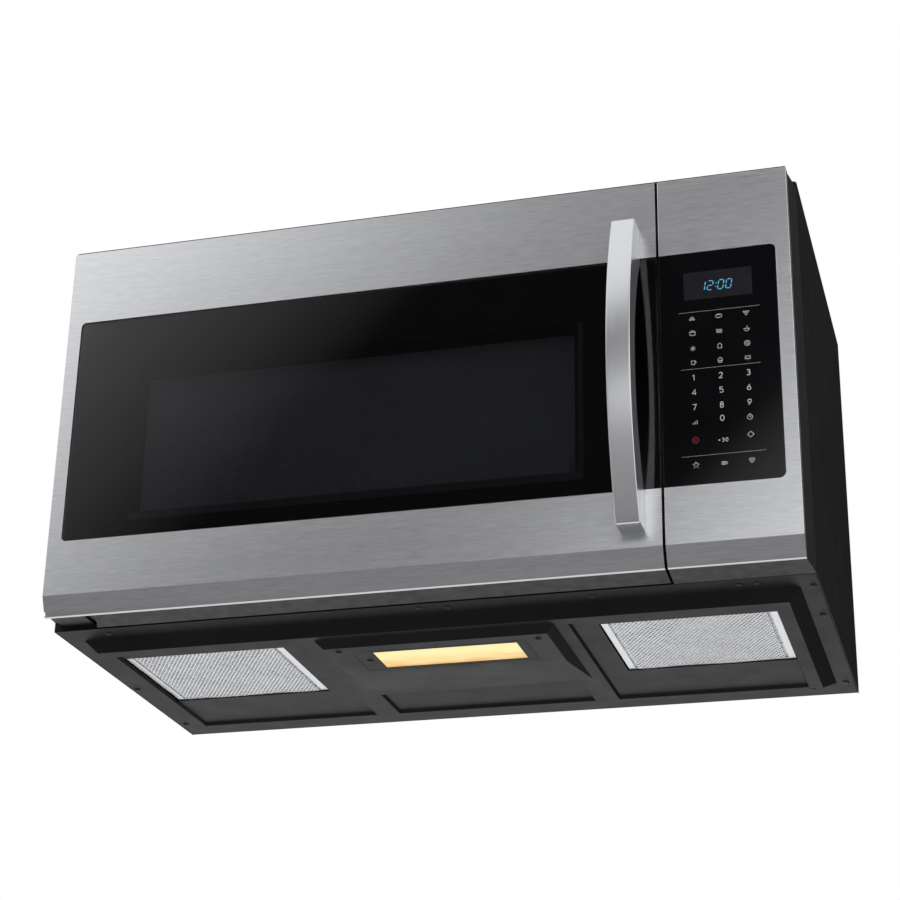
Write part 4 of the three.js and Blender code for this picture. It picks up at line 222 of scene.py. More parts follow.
def white_plastic():
    """Smooth ivory plastic, slightly translucent."""
    finish = Finish("ivory_plastic", Subsurface_Weight=0.05)
    finish.colour(finish.grain(60, 3), "#d9d6cd", "#e6e3da")
    finish.rough(finish.grain(200), 0.4, 0.52)
    finish.bump(finish.grain(900), 0.03, 0.4)
    return finish.material


def zinc():
    """Galvanised sheet: flat crystals, each of its own slight grey, with a fine frost over them."""
    finish = Finish("galvanised_sheet", Metallic=0.9)
    bent = finish.add("TexNoise", {"Vector": finish.place, "Scale": 130, "Detail": 2}).outputs["Color"]
    place = finish.mixed(0.01, finish.place, bent, "ADD")
    crystals = finish.add("TexVoronoi", {"Vector": place, "Scale": 85}).outputs["Color"]
    frost = finish.grain(420, 3)
    tone = finish.blended(finish.axis("X", crystals), 0.55, frost)
    finish.colour(tone, "#9fa2a6", "#b4b7bb", 0.2, 0.8)
    finish.rough(tone, 0.4, 0.5)
    finish.bump(frost, 0.02, 0.3)
    return finish.material


def enamel():
    """The cavity's pale grey fired enamel, with fine darker specks."""
    finish = Finish("grey_enamel", Specular_IOR_Level=0.5)
    specks = finish.ranged(finish.cells(900), 0.12, 0.2)
    ground = finish.shaded(finish.grain(25, 3), "#a9a7a1", "#b5b3ad")
    finish.use("Base Color", finish.mixed(specks, srgb("#77756f"), ground))
    finish.rough(finish.grain(120), 0.28, 0.4)
    finish.bump(finish.grain(420), 0.04, 0.4)
    return finish.material


def tinted_glass():
    """The door's smoked glass."""
    finish = Finish("smoked_glass", Roughness=0.04, IOR=1.42, Transmission_Weight=1.0)
    finish.colour(finish.grain(6, 2), "#a9abb0", "#b1b3b8")
    finish.bump(finish.grain(9, 1), 0.4, 0.06)
    return finish.material


def black_glass():
    """Glass printed black behind: a mirror-smooth face over an even black."""
    finish = Finish("black_glass", Specular_IOR_Level=0.45, IOR=1.5)
    finish.colour(finish.grain(30, 3), "#08090b", "#0b0c0f")
    finish.rough(finish.grain(25, 3), 0.04, 0.08)
    finish.bump(finish.grain(9, 1), 0.4, 0.06)
    return finish.material


def clear_glass():
    """Pressed glass with a faint green cast."""
    finish = Finish("clear_glass", Roughness=0.03, IOR=1.5, Transmission_Weight=1.0)
    finish.colour(finish.grain(8), "#e9f1ee", "#f2f7f5")
    finish.bump(finish.grain(30), 0.3, 0.15)
    return finish.material


def aluminium():
    """Bright sheet with its rolling lines along Y."""
    finish = Finish("rolled_aluminium", Metallic=1.0)
    lines = finish.grain(1, 3, (700, 30, 700))
    finish.colour(lines, "#dcdee1", "#eceef0")
    finish.rough(lines, 0.32, 0.46)
    finish.bump(lines, 0.03, 0.4)
    return finish.material


def filter_wire():
    """Bright expanded aluminium, glinting unevenly from strand to strand."""
    finish = Finish("expanded_aluminium", Metallic=1.0)
    glint = finish.grain(300, 2)
    finish.colour(glint, "#e2e4e7", "#fdfdfe")
    finish.rough(glint, 0.28, 0.42)
    finish.bump(finish.grain(1200), 0.06, 0.6)
    return finish.material


def filter_layers_painted_shade():
    """The lower layers of the filter's mesh as a flat colour: pale rims for their strands, and painted shade
    in the dark holes between them.
    """
    finish = Finish("filter_lower_layers_painted_shade", Metallic=0.8)
    # Pale cell rims stand for the lower strands. The dark cell middles are painted shade in the holes between
    # them.
    finish.colour(finish.cells(330), "#5a5b5e", "#d4d6da", 0.1, 0.6)
    finish.rough(finish.grain(300), 0.4, 0.6)
    finish.bump(finish.cells(330), 0.6, 0.8)
    return finish.material


SCREEN_HOLES = (at(93, 0, 114), at(538, 0, 258))
HOLE_PITCH = 2.1 * MM
HOLE_SHARE, HOLE_EDGE = 0.33, 0.04


def screen_steel():
    """Black painted sheet with round holes in staggered rows, and a plain border round them. The holes are
    painted near-black, as painted shade of the dark oven behind them.
    """
    finish = Finish("perforated_screen", Specular_IOR_Level=0.15)
    double_row = HOLE_PITCH * math.sqrt(3)
    layers = []
    for shift in (0.0, 0.5):
        cell = {"Scale": (1 / HOLE_PITCH, 0, 1 / double_row), "Location": (shift, 0, shift)}
        scaled = finish.add("Mapping", {"Vector": finish.place, **cell}).outputs[0]
        wrapped = finish.add("VectorMath", {0: scaled}, operation="FRACTION").outputs[0]
        centred = finish.add("VectorMath", {0: wrapped, 1: (0.5, 0, 0.5)}, operation="SUBTRACT").outputs[0]
        square = {0: centred, 1: (1, 0, double_row / HOLE_PITCH)}
        even = finish.add("VectorMath", square, operation="MULTIPLY").outputs[0]
        layers.append(finish.add("VectorMath", {0: even}, operation="LENGTH").outputs["Value"])
    nearest = finish.calc("MINIMUM", *layers)
    solid = finish.ranged(nearest, HOLE_SHARE - HOLE_EDGE, HOLE_SHARE + HOLE_EDGE)
    # The holes are painted near-black: painted shade for the dark oven seen through them. The sheet between
    # them is grey.
    holes_painted_dark = finish.mixed(solid, srgb("#101112"), srgb("#7c7d81"))
    low, high = SCREEN_HOLES
    within = 1.0
    for axis, start, end in (("X", low.x, high.x), ("Z", low.z, high.z)):
        for edge, way in ((start, 1), (end, -1)):
            past = finish.ranged(finish.axis(axis), edge - way * MM, edge)
            within = finish.calc("MULTIPLY", within, past)
    finish.use("Base Color", finish.mixed(within, srgb("#131416"), holes_painted_dark))
    finish.rough(finish.grain(80), 0.45, 0.6)
    finish.bump(solid, 0.2, 0.15)
    return finish.material


def iron():
    """Stacked transformer laminations under dark lacquer."""
    finish = Finish("lacquered_laminations", Metallic=0.6)
    sheets = finish.grain(1, 2, (4, 1600, 4))
    finish.colour(sheets, "#2f2d2c", "#5b5754")
    finish.rough(sheets, 0.45, 0.65)
    finish.bump(sheets, 0.1, 0.6)
    return finish.material


def copper():
    """Enamelled wire, wound in fine turns."""
    finish = Finish("enamelled_copper", Metallic=0.85)
    wires = finish.grain(1, 2, (1400, 6, 1400))
    finish.colour(wires, "#6f3418", "#b5673a")
    finish.rough(wires, 0.3, 0.45)
    finish.bump(wires, 0.1, 0.6)
    return finish.material


def circuit_board():
    """Green solder mask with paler copper tracks under it."""
    finish = Finish("circuit_board", Specular_IOR_Level=0.5)
    tracks = finish.ranged(finish.cells(240, distance="MANHATTAN", feature="DISTANCE_TO_EDGE"), 0.04, 0.07)
    finish.use("Base Color", finish.mixed(tracks, srgb("#4d8c5c"), srgb("#1f5a38")))
    finish.rough(finish.grain(150), 0.35, 0.5)
    finish.bump(tracks, 0.05, 0.5)
    return finish.material


def carbon():
    """A bed of coarse charcoal granules, with painted shade in the gaps between them."""
    finish = Finish("carbon_granules")
    grains = finish.cells(420)
    # Each granule is paler in its middle and darker at its rim: painted shade in the gaps between granules.
    finish.colour(grains, "#2c2c2d", "#0d0d0e", 0.1, 0.7)
    finish.rough(finish.grain(300), 0.7, 0.95)
    finish.bump(grains, 1.2, 0.9)
    return finish.material


def mica():
    """Pale pressed mica with cloudy flakes."""
    finish = Finish("mica_sheet", Sheen_Weight=0.2)
    flakes = finish.grain(70, 4, (1, 1, 2.5))
    finish.colour(flakes, "#b4aa92", "#c8bfa9")
    finish.rough(flakes, 0.45, 0.7)
    finish.bump(flakes, 0.1, 0.4)
    return finish.material


def lamp_lens():
    """A lit frosted lens: nearly white at the front, deep yellow towards its rear edge."""
    finish = Finish("lit_lens", Roughness=0.35, Emission_Strength=0.42)
    low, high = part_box("lamp_lens")
    depth = finish.ranged(finish.axis("Y"), low.y, high.y)
    ripple = finish.calc("MULTIPLY", finish.grain(26, 2, (1, 2, 1)), 0.9)
    warmth = finish.calc("ADD", depth, finish.calc("SUBTRACT", ripple, 0.45))
    glow = finish.shaded(warmth, "#ffeda4", "#e29a22", 0.4, 1.1)
    finish.use("Base Color", glow)
    finish.use("Emission Color", glow)
    finish.bump(finish.grain(900), 0.05, 0.5)
    return finish.material


def ink(name, dark, light, glow):
    """Screen-printed ink, a little uneven, that shines by as much as glow says: on the lit clock that is its
    own light, on plain print it is a painted glow.
    """
    finish = Finish(name, Roughness=0.5, Emission_Strength=glow)
    shade = finish.shaded(finish.grain(900, 2), dark, light)
    finish.use("Base Color", shade)
    finish.use("Emission Color", shade)
    finish.bump(finish.grain(1500), 0.01, 0.3)
    return finish.material


def glass_print():
    """Black print bonded to the back of the glass, with no gloss of its own."""
    finish = Finish("black_print", Roughness=0.8, Specular_IOR_Level=0.0)
    finish.colour(finish.grain(40, 3), "#141518", "#18191c")
    finish.bump(finish.grain(60, 1), 0.02, 0.1)
    return finish.material


def display_window():
    """The dark pane in front of the clock, a shade paler than the glass round it."""
    finish = Finish("display_window", Roughness=0.12, Specular_IOR_Level=0.4)
    finish.colour(finish.grain(40, 2), "#222228", "#2a292f")
    finish.bump(finish.grain(9, 1), 0.4, 0.06)
    return finish.material


def screw_black():
    """Blackened steel, worn a little brighter in places."""
    finish = Finish("blackened_screw", Metallic=0.7)
    finish.colour(finish.grain(500), "#232427", "#34363a")
    finish.rough(finish.grain(600), 0.3, 0.45)
    finish.bump(finish.grain(1500), 0.03, 0.4)
    return finish.material


def hinge_black():
    """Black zinc plate on the hinges' steel."""
    finish = Finish("black_zinc_plate", Metallic=0.5)
    finish.colour(finish.grain(120, 3), "#141517", "#1f2023")
    finish.rough(finish.grain(200), 0.4, 0.55)
    finish.bump(finish.grain(900), 0.03, 0.4)
    return finish.material


SLOT_FINISHES = {
    "black_paint": black_paint(),
    "stainless": stainless(),
    "zinc": zinc(),
    "enamel": enamel(),
    "black_plastic": black_plastic(),
    "white_plastic": white_plastic(),
    "black_glass": black_glass(),
    "clear_glass": clear_glass(),
    "aluminium": aluminium(),
    "handle_metal": handle_metal(),
    "screen_steel": screen_steel(),
    "iron": iron(),
    "copper": copper(),
    "circuit_board": circuit_board(),
    "carbon": carbon(),
    "lamp_lens": lamp_lens(),
    "mica": mica(),
}


# ---------------------------------------------------------------- shapes

# Edges sharper than this stay crisp: the first is usual, the second keeps a shallow crease too.
SHARP, CREASE = math.radians(30), math.radians(12)
FLAT = math.radians(0.5)
EXACT = 1e-5
MERGE = 1e-6
# How far edges are eased: on mouldings and the front's steel, and on plainer sheets and covers.
SOFT_EDGE, FINE_EDGE = 0.4 * MM, 0.3 * MM
EDGE_FULLNESS = 0.6
CORNER_STEPS = 8


def made(name, bm, finishes, body, stands_for=(), weighted=True, sharp=SHARP):
    """A piece from a bmesh, smooth but for its sharp edges, riding on a body."""
    bm.normal_update()
    for face in bm.faces:
        face.smooth = True
    for edge in bm.edges:
        edge.smooth = len(edge.link_faces) == 2 and edge.calc_face_angle(0) < sharp
    mesh = bpy.data.meshes.new(name)
    bm.to_mesh(mesh)
    bm.free()
    piece = bpy.data.objects.new(name, mesh)
    bpy.context.scene.collection.objects.link(piece)
    for finish in finishes:
        mesh.materials.append(finish)
    if weighted:
        normals = piece.modifiers.new("flat_faces", "WEIGHTED_NORMAL")
        normals.keep_sharp = True
    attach(piece, body)
    if stands_for:
        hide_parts(*stands_for)
    return piece


def bevelled(bm, width, segments=2, sharp=SHARP):
    """Rounds the edges between faces that meet at more than the sharp angle."""
    edges = [e for e in bm.edges if len(e.link_faces) == 2 and e.calc_face_angle(0) > sharp]
    bmesh.ops.bevel(
        bm, geom=edges, offset=width, segments=segments, profile=EDGE_FULLNESS, affect="EDGES",
        clamp_overlap=True,
    )


def cleaned(node):
    """A bmesh of a CAD node with its flat faces whole again."""
    bm = bmesh.new()
    bm.from_mesh(frame["nodes"][node].data)
    bmesh.ops.remove_doubles(bm, verts=bm.verts, dist=MERGE)
    bmesh.ops.dissolve_limit(bm, angle_limit=FLAT, verts=bm.verts, edges=bm.edges)
    return bm


def eased(node, name, width, finishes=None, finish_of=None, sharp=SHARP):
    """The node's own shape with its edges eased, in place of the node."""
    bm = cleaned(node)
    bevelled(bm, width, sharp=sharp)
    if finish_of:
        for face in bm.faces:
            face.material_index = finish_of(face)
    slot = SLOT_OF[node]
    return made(
        name, bm, finishes or [SLOT_FINISHES[slot]], BODY_OF[node], (node,), sharp=sharp,
    )


def outline(low, high, left_radius, right_radius=None):
    """A rectangle with rounded corners, as points of the X-Z plane."""
    points = []
    corners = [(high.x, high.z, 0), (low.x, high.z, 90), (low.x, low.z, 180), (high.x, low.z, 270)]
    for x, z, start in corners:
        radius = right_radius if right_radius and x == high.x else left_radius
        cx = x - math.copysign(radius, x - (low.x + high.x) / 2)
        cz = z - math.copysign(radius, z - (low.z + high.z) / 2)
        for i in range(CORNER_STEPS + 1):
            angle = math.radians(start + 90 * i / CORNER_STEPS)
            points.append((cx + radius * math.cos(angle), cz + radius * math.sin(angle)))
    return points


def bridged(bm, here, there):
    """Faces round from one ring of vertices to another with as many."""
    for i in range(len(here)):
        j = (i + 1) % len(here)
        bm.faces.new((here[i], here[j], there[j], there[i]))


def capped(bm, rings):
    """A closed body through rings of vertices, flat at its first and last ring."""
    for here, there in zip(rings, rings[1:]):
        bridged(bm, here, there)
    bm.faces.new(rings[0])
    bm.faces.new(reversed(rings[-1]))


def plate(bm, points, front, back):
    """A flat plate across Y with that outline in the X-Z plane."""
    capped(bm, [[bm.verts.new((x, y, z)) for x, z in points] for y in (front, back)])


def steel_skin(node, name, glass, radius):
    """A front's steel, with a crisp crease and a cut-out rounded like its glass."""
    low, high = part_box(glass)
    skin_low, skin_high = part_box(node)
    bm = cleaned(node)
    corners = []
    for edge in bm.edges:
        a, b = (v.co for v in edge.verts)
        middle = (a + b) / 2
        across = abs(a.x - b.x) < EXACT and abs(a.z - b.z) < EXACT
        near = min(abs(middle.z - low.z), abs(middle.z - high.z)) < MM
        beside = min(abs(middle.x - low.x), abs(middle.x - high.x)) < MM
        inside = skin_low.x + MM < middle.x < skin_high.x - MM
        if across and near and beside and inside:
            corners.append(edge)
    bmesh.ops.bevel(bm, geom=corners, offset=radius, segments=10, profile=0.5, affect="EDGES")
    bevelled(bm, SOFT_EDGE)
    finishes = [SLOT_FINISHES["stainless"]]
    return made(name, bm, finishes, BODY_OF[node], (node,), sharp=CREASE)


def glass_sheet(node, name, radii, finish, gap=0.0):
    """A sheet of glass with rounded corners. Gap is the dark line left above it and on its left."""
    low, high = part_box(node)
    low.x += gap
    high.z -= gap
    bm = bmesh.new()
    plate(bm, outline(low, high, *radii), low.y, high.y)
    bmesh.ops.recalc_face_normals(bm, faces=bm.faces)
    bevelled(bm, SOFT_EDGE)
    return made(name, bm, [finish], BODY_OF[node], (node,))


# ---------------------------------------------------------------- front

# The bow stands on feet at both ends. Its ends are less deep than its middle.
BOW_END_DEPTH, BOW_HOLLOW, BOW_FOOT = 25 * MM, 35 * MM, 38 * MM
BOW_EDGE = 1.6 * MM
BOW_STEPS = 48


def bow(reach, rise):
    """Points of an arc that goes reach to both sides and rises by rise: along, and out."""
    radius = (reach * reach + rise * rise) / (2 * rise)
    along = [-reach + 2 * reach * i / BOW_STEPS for i in range(BOW_STEPS + 1)]
    return [(z, math.sqrt(radius * radius - z * z) - radius + rise) for z in along]


def handle():
    """A bow with a flat face: two arcs, one in front and one behind, with eased edges."""
    low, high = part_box("door_handle")
    middle, half = (low.z + high.z) / 2, (high.z - low.z) / 2
    face = bow(half, high.y - low.y - BOW_END_DEPTH)
    hollow = bow(half - BOW_FOOT, BOW_HOLLOW)
    points = [(high.y - BOW_END_DEPTH - out, middle + z) for z, out in face]
    points.append((high.y, high.z))
    points += [(high.y - out, middle + z) for z, out in reversed(hollow)]
    points.append((high.y, low.z))
    bm = bmesh.new()
    capped(bm, [[bm.verts.new((x, y, z)) for y, z in points] for x in (low.x, high.x)])
    bmesh.ops.recalc_face_normals(bm, faces=bm.faces)
    bevelled(bm, BOW_EDGE, 3)
    made("bow_handle", bm, [SLOT_FINISHES["handle_metal"]], "door", ("door_handle",))


DOOR_GLASS_RADIUS, PANEL_GLASS_RADIUS, SEAM_RADIUS = 5 * MM, 6 * MM, 1 * MM
GLASS_GAP = 0.8 * MM
WINDOW = (at(88, 0, 97), at(551, 0, 262))
PRINT_INSET, PRINT_RADIUS = 2 * MM, 4 * MM
PRINT_GAP, PRINT_THICKNESS = 0.08 * MM, 0.12 * MM


def window_print():
    """The black print behind the door's glass, open at the window."""
    low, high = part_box("door_glass")
    inset = Vector((PRINT_INSET, 0, PRINT_INSET))
    outer = outline(low + inset, high - inset, PRINT_RADIUS)
    inner = outline(*WINDOW, PRINT_RADIUS)
    front, back = high.y + PRINT_GAP, high.y + PRINT_GAP + PRINT_THICKNESS
    bm = bmesh.new()
    rings = []
    for points, y in ((outer, front), (inner, front), (inner, back), (outer, back)):
        rings.append([bm.verts.new((x, y, z)) for x, z in points])
    for here, there in zip(rings, rings[1:] + rings[:1]):
        bridged(bm, here, there)
    bmesh.ops.recalc_face_normals(bm, faces=bm.faces)
    made("window_print", bm, [glass_print()], "door", weighted=False)


# Marks lie on the panel's glass. Their places are millimetres across and up the front.
MARK_FRONT, MARK_BACK = -0.05, -0.01
MARK_SIZE, MORE_TIME_SIZE, STOP_SIZE = 1.15, 0.65, 1.1
MARK_WIDTH, DIGIT_WIDTH, MORE_TIME_WIDTH, STOP_WIDTH, DIVIDER_WIDTH = 0.34, 0.5, 0.4, 0.36, 0.13
COLUMNS = (658.0, 683.6, 709.6)
DIGIT_ROWS = (189.0, 173.8, 158.4)
PRESET_ROWS = (251.5, 235.4, 219.6, 204.8)
DIVIDERS = ((645.0, 722.7, 258.2), (646.0, 721.5, 198.0), (644.5, 723.0, 108.5))
# The least cosine that a mitre is worked out with, so that a sharp corner doesn't reach far out.
MITRE_LIMIT = 0.5


def stroke(bm, points, width, closed=False):
    """A flat line of that width through points of the panel, mitred at its corners."""
    places = [Vector(p) for p in points]
    count = len(places)
    rings = []
    for i, place in enumerate(places):
        before = places[i - 1] if i or closed else None
        after = places[(i + 1) % count] if i < count - 1 or closed else None
        ways = [(b - a).normalized() for a, b in ((before, place), (place, after)) if a and b]
        way = sum(ways, Vector((0, 0))).normalized()
        aside = Vector((-way.y, way.x)) * width / 2 / max(way.dot(ways[0]), MITRE_LIMIT)
        left, right = place + aside, place - aside
        section = ((left, MARK_FRONT), (right, MARK_FRONT), (right, MARK_BACK), (left, MARK_BACK))
        rings.append([bm.verts.new(at(p.x, y, p.y)) for p, y in section])
    if closed:
        for here, there in zip(rings, rings[1:] + rings[:1]):
            bridged(bm, here, there)
    else:
        capped(bm, rings)


def arc(x, z, radius, start=0, end=360, squash=1.0):
    """Points round a centre, for a part of a circle or an ellipse."""
    steps = max(5, int(abs(end - start) / 24))
    whole = abs(end - start) == 360
    angles = [math.radians(start + (end - start) * i / steps) for i in range(steps if whole else steps + 1)]
    return [(x + radius * math.cos(a), z + radius * squash * math.sin(a)) for a in angles]


def star(arms, inner, outer, turn=90):
    """Separate rays from inner to outer, as on a lamp or a snowflake."""
    rays = []
    for i in range(arms):
        a = math.radians(turn + 360 * i / arms)
        rays.append(([(r * math.cos(a), r * math.sin(a)) for r in (inner, outer)], False))
    return rays


def wave(z, width=2.4):
    """Two ripples of a wavy line at that height, reaching width to both sides."""
    return [(-width + 2 * width * i / 8, z + 0.45 * math.sin(math.pi * i / 2)) for i in range(9)]


# Each mark is a list of lines in millimetres from its middle, and whether each is closed.
PRESETS = (
    [(arc(0, 0.4, 1.0), True), (arc(-1.3, -0.9, 0.8), True), (arc(1.3, -0.9, 0.8), True)],
    [(arc(0, 0, 2.6, 0, 360, 0.65), True), (arc(0, 0, 1.2, 20, 160), False)],
    [([(-2.4, 1.6), (2.4, 1.6), (0, -2.2)], True), (arc(0, 0.6, 0.5), True)],
    [([(-2.5, 1.2), (2.5, 1.2), (2.0, -1.6), (-2.0, -1.6)], True), (wave(2.3, 1.8), False)],
    [(wave(1.2), False), (wave(0), False), (wave(-1.2), False)],
    [(arc(0, -0.4, 2.2, 180, 360), False), ([(-2.6, -0.4), (2.6, -0.4)], False), ([(0, 0), (0.6, 2)], False)],
    star(6, 0.0, 2.4),
    [([(-1.6, -2), (-1.6, 1.2), (0, 2.4), (1.6, 1.2), (1.6, -2)], True)],
    [(arc(0, 0, 2.3), True), (arc(0, 0, 1.1), True)],
    [([(-1.7, 1.6), (-1.3, -1.8), (1.1, -1.8), (1.5, 1.6)], True), (arc(1.4, 0.2, 0.9, -80, 80), False)],
    [([(-1.2, -2.2), (-2.0, 0.6), (0, 2.4), (2.0, 0.6), (1.2, -2.2)], True), (wave(-0.6, 1.2), False)],
    [(arc(0, -0.8, 2.0, 0, 180), False), ([(-2.6, -1.2), (2.6, -1.2)], False)] + star(3, 2.2, 2.9, 30),
)
POWER = [([(x, -1.8), (x, -1.8 + h)], False) for x, h in ((-1.8, 1.2), (-0.6, 2.0), (0.6, 2.8), (1.8, 3.6))]
TIMER = [
    (arc(0, -0.2, 2.1), True),
    ([(0, 1.2), (0, -0.2), (1.0, -0.2)], False),
    ([(-0.7, 2.6), (0.7, 2.6)], False),
]
STOP = [(arc(0, 0, 2.8), True), ([(-1.1, -1.1), (1.1, 1.1)], False), ([(-1.1, 1.1), (1.1, -1.1)], False)]
START = [([(0, 2.6), (2.6, 0), (0, -2.6), (-2.6, 0)], True)]
LAMP = [(arc(0, 0.4, 1.6, -50, 230), False), ([(-0.7, -1.5), (0.7, -1.5)], False)] + star(5, 2.4, 3.1, 18)
TURNING = [(arc(0, 0, 2.7, 200, 520, 0.5), False), (arc(0, 0, 1.3, 0, 360, 0.5), True)]
BLADES = [(arc(1.2 * math.cos(a), 1.2 * math.sin(a), 1.1), True) for a in (0.5, 2.6, 4.7)]
WHITE_MARKS = [
    (PRESETS[3 * row + column], x, z) for row, z in enumerate(PRESET_ROWS) for column, x in enumerate(COLUMNS)
]
WHITE_MARKS += [
    (POWER, 658.0, 142.8), (TIMER, 709.4, 143.3), (START, 709.4, 125.5),
    (LAMP, 657.8, 99.3), (TURNING, 684.0, 99.0), (BLADES, 709.6, 99.6),
]

# Digits are drawn in a field 5.6 mm high, about their middle.
DIGITS = (
    [(arc(0, 0, 1.7, 0, 360, 1.65), True)],
    [([(-1.1, 1.7), (0.3, 2.8), (0.3, -2.8)], False)],
    [(arc(0, 1.25, 1.55, 165, -35) + [(-1.6, -2.8), (1.7, -2.8)], False)],
    [(arc(0, 1.4, 1.4, 150, -80) + arc(0, -1.2, 1.6, 80, -150), False)],
    [([(0.9, -2.8), (0.9, 2.8), (-1.9, -1.2), (1.8, -1.2)], False)],
    [([(1.4, 2.8), (-1.2, 2.8), (-1.4, 0.4)] + arc(0, -1.0, 1.8, 130, -140), False)],
    [(arc(0, -1.1, 1.7), True), ([(1.0, 2.8), (-1.35, -0.1)], False)],
    [([(-1.7, 2.8), (1.7, 2.8), (-0.6, -2.8)], False)],
    [(arc(0, 1.5, 1.3), True), (arc(0, -1.3, 1.5), True)],
    [(arc(0, 1.1, 1.7), True), ([(-1.0, -2.8), (1.35, 0.1)], False)],
)
PLUS = [([(-1.3, 0), (1.3, 0)], False), ([(0, -1.3), (0, 1.3)], False)]


def draw(bm, mark, x, z, width, size=1.0):
    """A mark with its middle at x, z, drawn in lines of that width."""
    for line, closed in mark:
        stroke(bm, [(x + dx * size, z + dz * size) for dx, dz in line], width, closed)


# A clock digit's strokes, as shares of its width and height.
SEGMENTS = {
    "top": ((0.14, 1), (0.86, 1)), "middle": ((0.14, 0.5), (0.86, 0.5)), "bottom": ((0.14, 0), (0.86, 0)),
    "upper_left": ((0, 0.93), (0, 0.57)), "upper_right": ((1, 0.93), (1, 0.57)),
    "lower_left": ((0, 0.43), (0, 0.07)), "lower_right": ((1, 0.43), (1, 0.07)),
}
CLOCK_DIGITS = {
    "0": ("top", "bottom", "upper_left", "upper_right", "lower_left", "lower_right"),
    "1": ("upper_right", "lower_right"),
    "2": ("top", "upper_right", "middle", "lower_left", "bottom"),
}
CLOCK_CORNER = (665.6, 280.3)
CLOCK_DIGIT = (5.0, 9.6)
CLOCK_PITCH, COLON_PITCH = 7.6, 2.6
CLOCK_LEAN, CLOCK_WIDTH = 0.16, 0.85
COLON_HEIGHTS, COLON_ASIDE, COLON_HALF, COLON_LEAN = (0.3, 0.7), 0.4, 0.5, 0.1


def clock(bm):
    """Leaning seven-segment figures that read 12:00."""
    x, z = CLOCK_CORNER
    wide, high = CLOCK_DIGIT
    lean = CLOCK_LEAN * high
    for figure in "12:00":
        if figure == ":":
            for share in COLON_HEIGHTS:
                middle, height = x + COLON_ASIDE + lean * share, z + high * share
                ends = [(middle, height - COLON_HALF), (middle + COLON_LEAN, height + COLON_HALF)]
                stroke(bm, ends, CLOCK_WIDTH)
            x += COLON_PITCH
        else:
            for name in CLOCK_DIGITS[figure]:
                stroke(bm, [(x + wide * a + lean * b, z + high * b) for a, b in SEGMENTS[name]], CLOCK_WIDTH)
            x += CLOCK_PITCH


PANE = (at(650.9, 0, 271.3), at(716.5, 0, 301.0))
PANE_RADIUS = 0.8 * MM
PANE_FRONT, PANE_BACK = at(0, -0.02, 0).y, at(0, -0.004, 0).y
ZERO_ROW, MORE_TIME_ROW, STOP_PLACE = 144.8, 122.5, (COLUMNS[0], 124.5)
# The key for thirty seconds more: each figure and how far it is from the key's middle.
MORE_TIME = ((PLUS, -3.4), (DIGITS[3], 0), (DIGITS[0], 3.6))


def printed(name, bm, finish):
    """A piece made of flat marks, riding on the cabinet."""
    bmesh.ops.recalc_face_normals(bm, faces=bm.faces)
    made(name, bm, [finish], "cabinet", weighted=False)


def display_pane():
    bm = bmesh.new()
    plate(bm, outline(*PANE, PANE_RADIUS), PANE_FRONT, PANE_BACK)
    printed("display_pane", bm, display_window())


def clock_figures():
    bm = bmesh.new()
    clock(bm)
    printed("clock_figures", bm, ink("lit_blue", "#2f93c0", "#57b6d9", 0.55))


def keypad_marks():
    """Digits, small icons and dividing lines in white."""
    bm = bmesh.new()
    for row, z in enumerate(DIGIT_ROWS):
        for column, x in enumerate(COLUMNS):
            draw(bm, DIGITS[3 * row + column + 1], x, z, DIGIT_WIDTH)
    draw(bm, DIGITS[0], COLUMNS[1], ZERO_ROW, DIGIT_WIDTH)
    for mark, aside in MORE_TIME:
        draw(bm, mark, COLUMNS[1] + aside, MORE_TIME_ROW, MORE_TIME_WIDTH, MORE_TIME_SIZE)
    for mark, x, z in WHITE_MARKS:
        draw(bm, mark, x, z, MARK_WIDTH, MARK_SIZE)
    for x0, x1, z in DIVIDERS:
        stroke(bm, [(x0, z), (x1, z)], DIVIDER_WIDTH)
    # The white print's faint glow of 0.2 is painted light, since the print gives off none.
    printed("keypad_marks", bm, ink("white_print", "#d3d5d9", "#eceef0", 0.2))


def stop_mark():
    bm = bmesh.new()
    draw(bm, STOP, *STOP_PLACE, STOP_WIDTH, STOP_SIZE)
    # The red print's faint glow of 0.1 is painted light as well.
    printed("stop_mark", bm, ink("red_print", "#a3202a", "#b82a33", 0.1))


COIL_WIRE = 0.45 * MM
COIL_TURNS, COIL_STEPS, COIL_SIDES = 13, 20, 8


def latch_coil():
    """The latch's return spring as a wire coil of one fixed length; the real one shortens as the latch lifts.
    """
    low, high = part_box("latch_spring")
    middle = (low + high) / 2
    radius = (high.x - low.x) / 2 - COIL_WIRE
    length = high.z - low.z - 2 * COIL_WIRE
    bm = bmesh.new()
    rings = []
    for i in range(COIL_TURNS * COIL_STEPS + 1):
        angle = 2 * math.pi * i / COIL_STEPS
        out = Vector((math.cos(angle), math.sin(angle), 0))
        rise = low.z + COIL_WIRE + length * i / (COIL_TURNS * COIL_STEPS)
        place = Vector((middle.x, middle.y, rise)) + out * radius
        turns = [2 * math.pi * k / COIL_SIDES for k in range(COIL_SIDES)]
        rings.append([
            bm.verts.new(place + (out * math.cos(turn) + UP * math.sin(turn)) * COIL_WIRE) for turn in turns
        ])
    capped(bm, rings)
    bmesh.ops.recalc_face_normals(bm, faces=bm.faces)
    slot = SLOT_OF["latch_spring"]
    coil = made("latch_coil", bm, [SLOT_FINISHES[slot]], BODY_OF["latch_spring"], ("latch_spring",))
    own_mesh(coil)


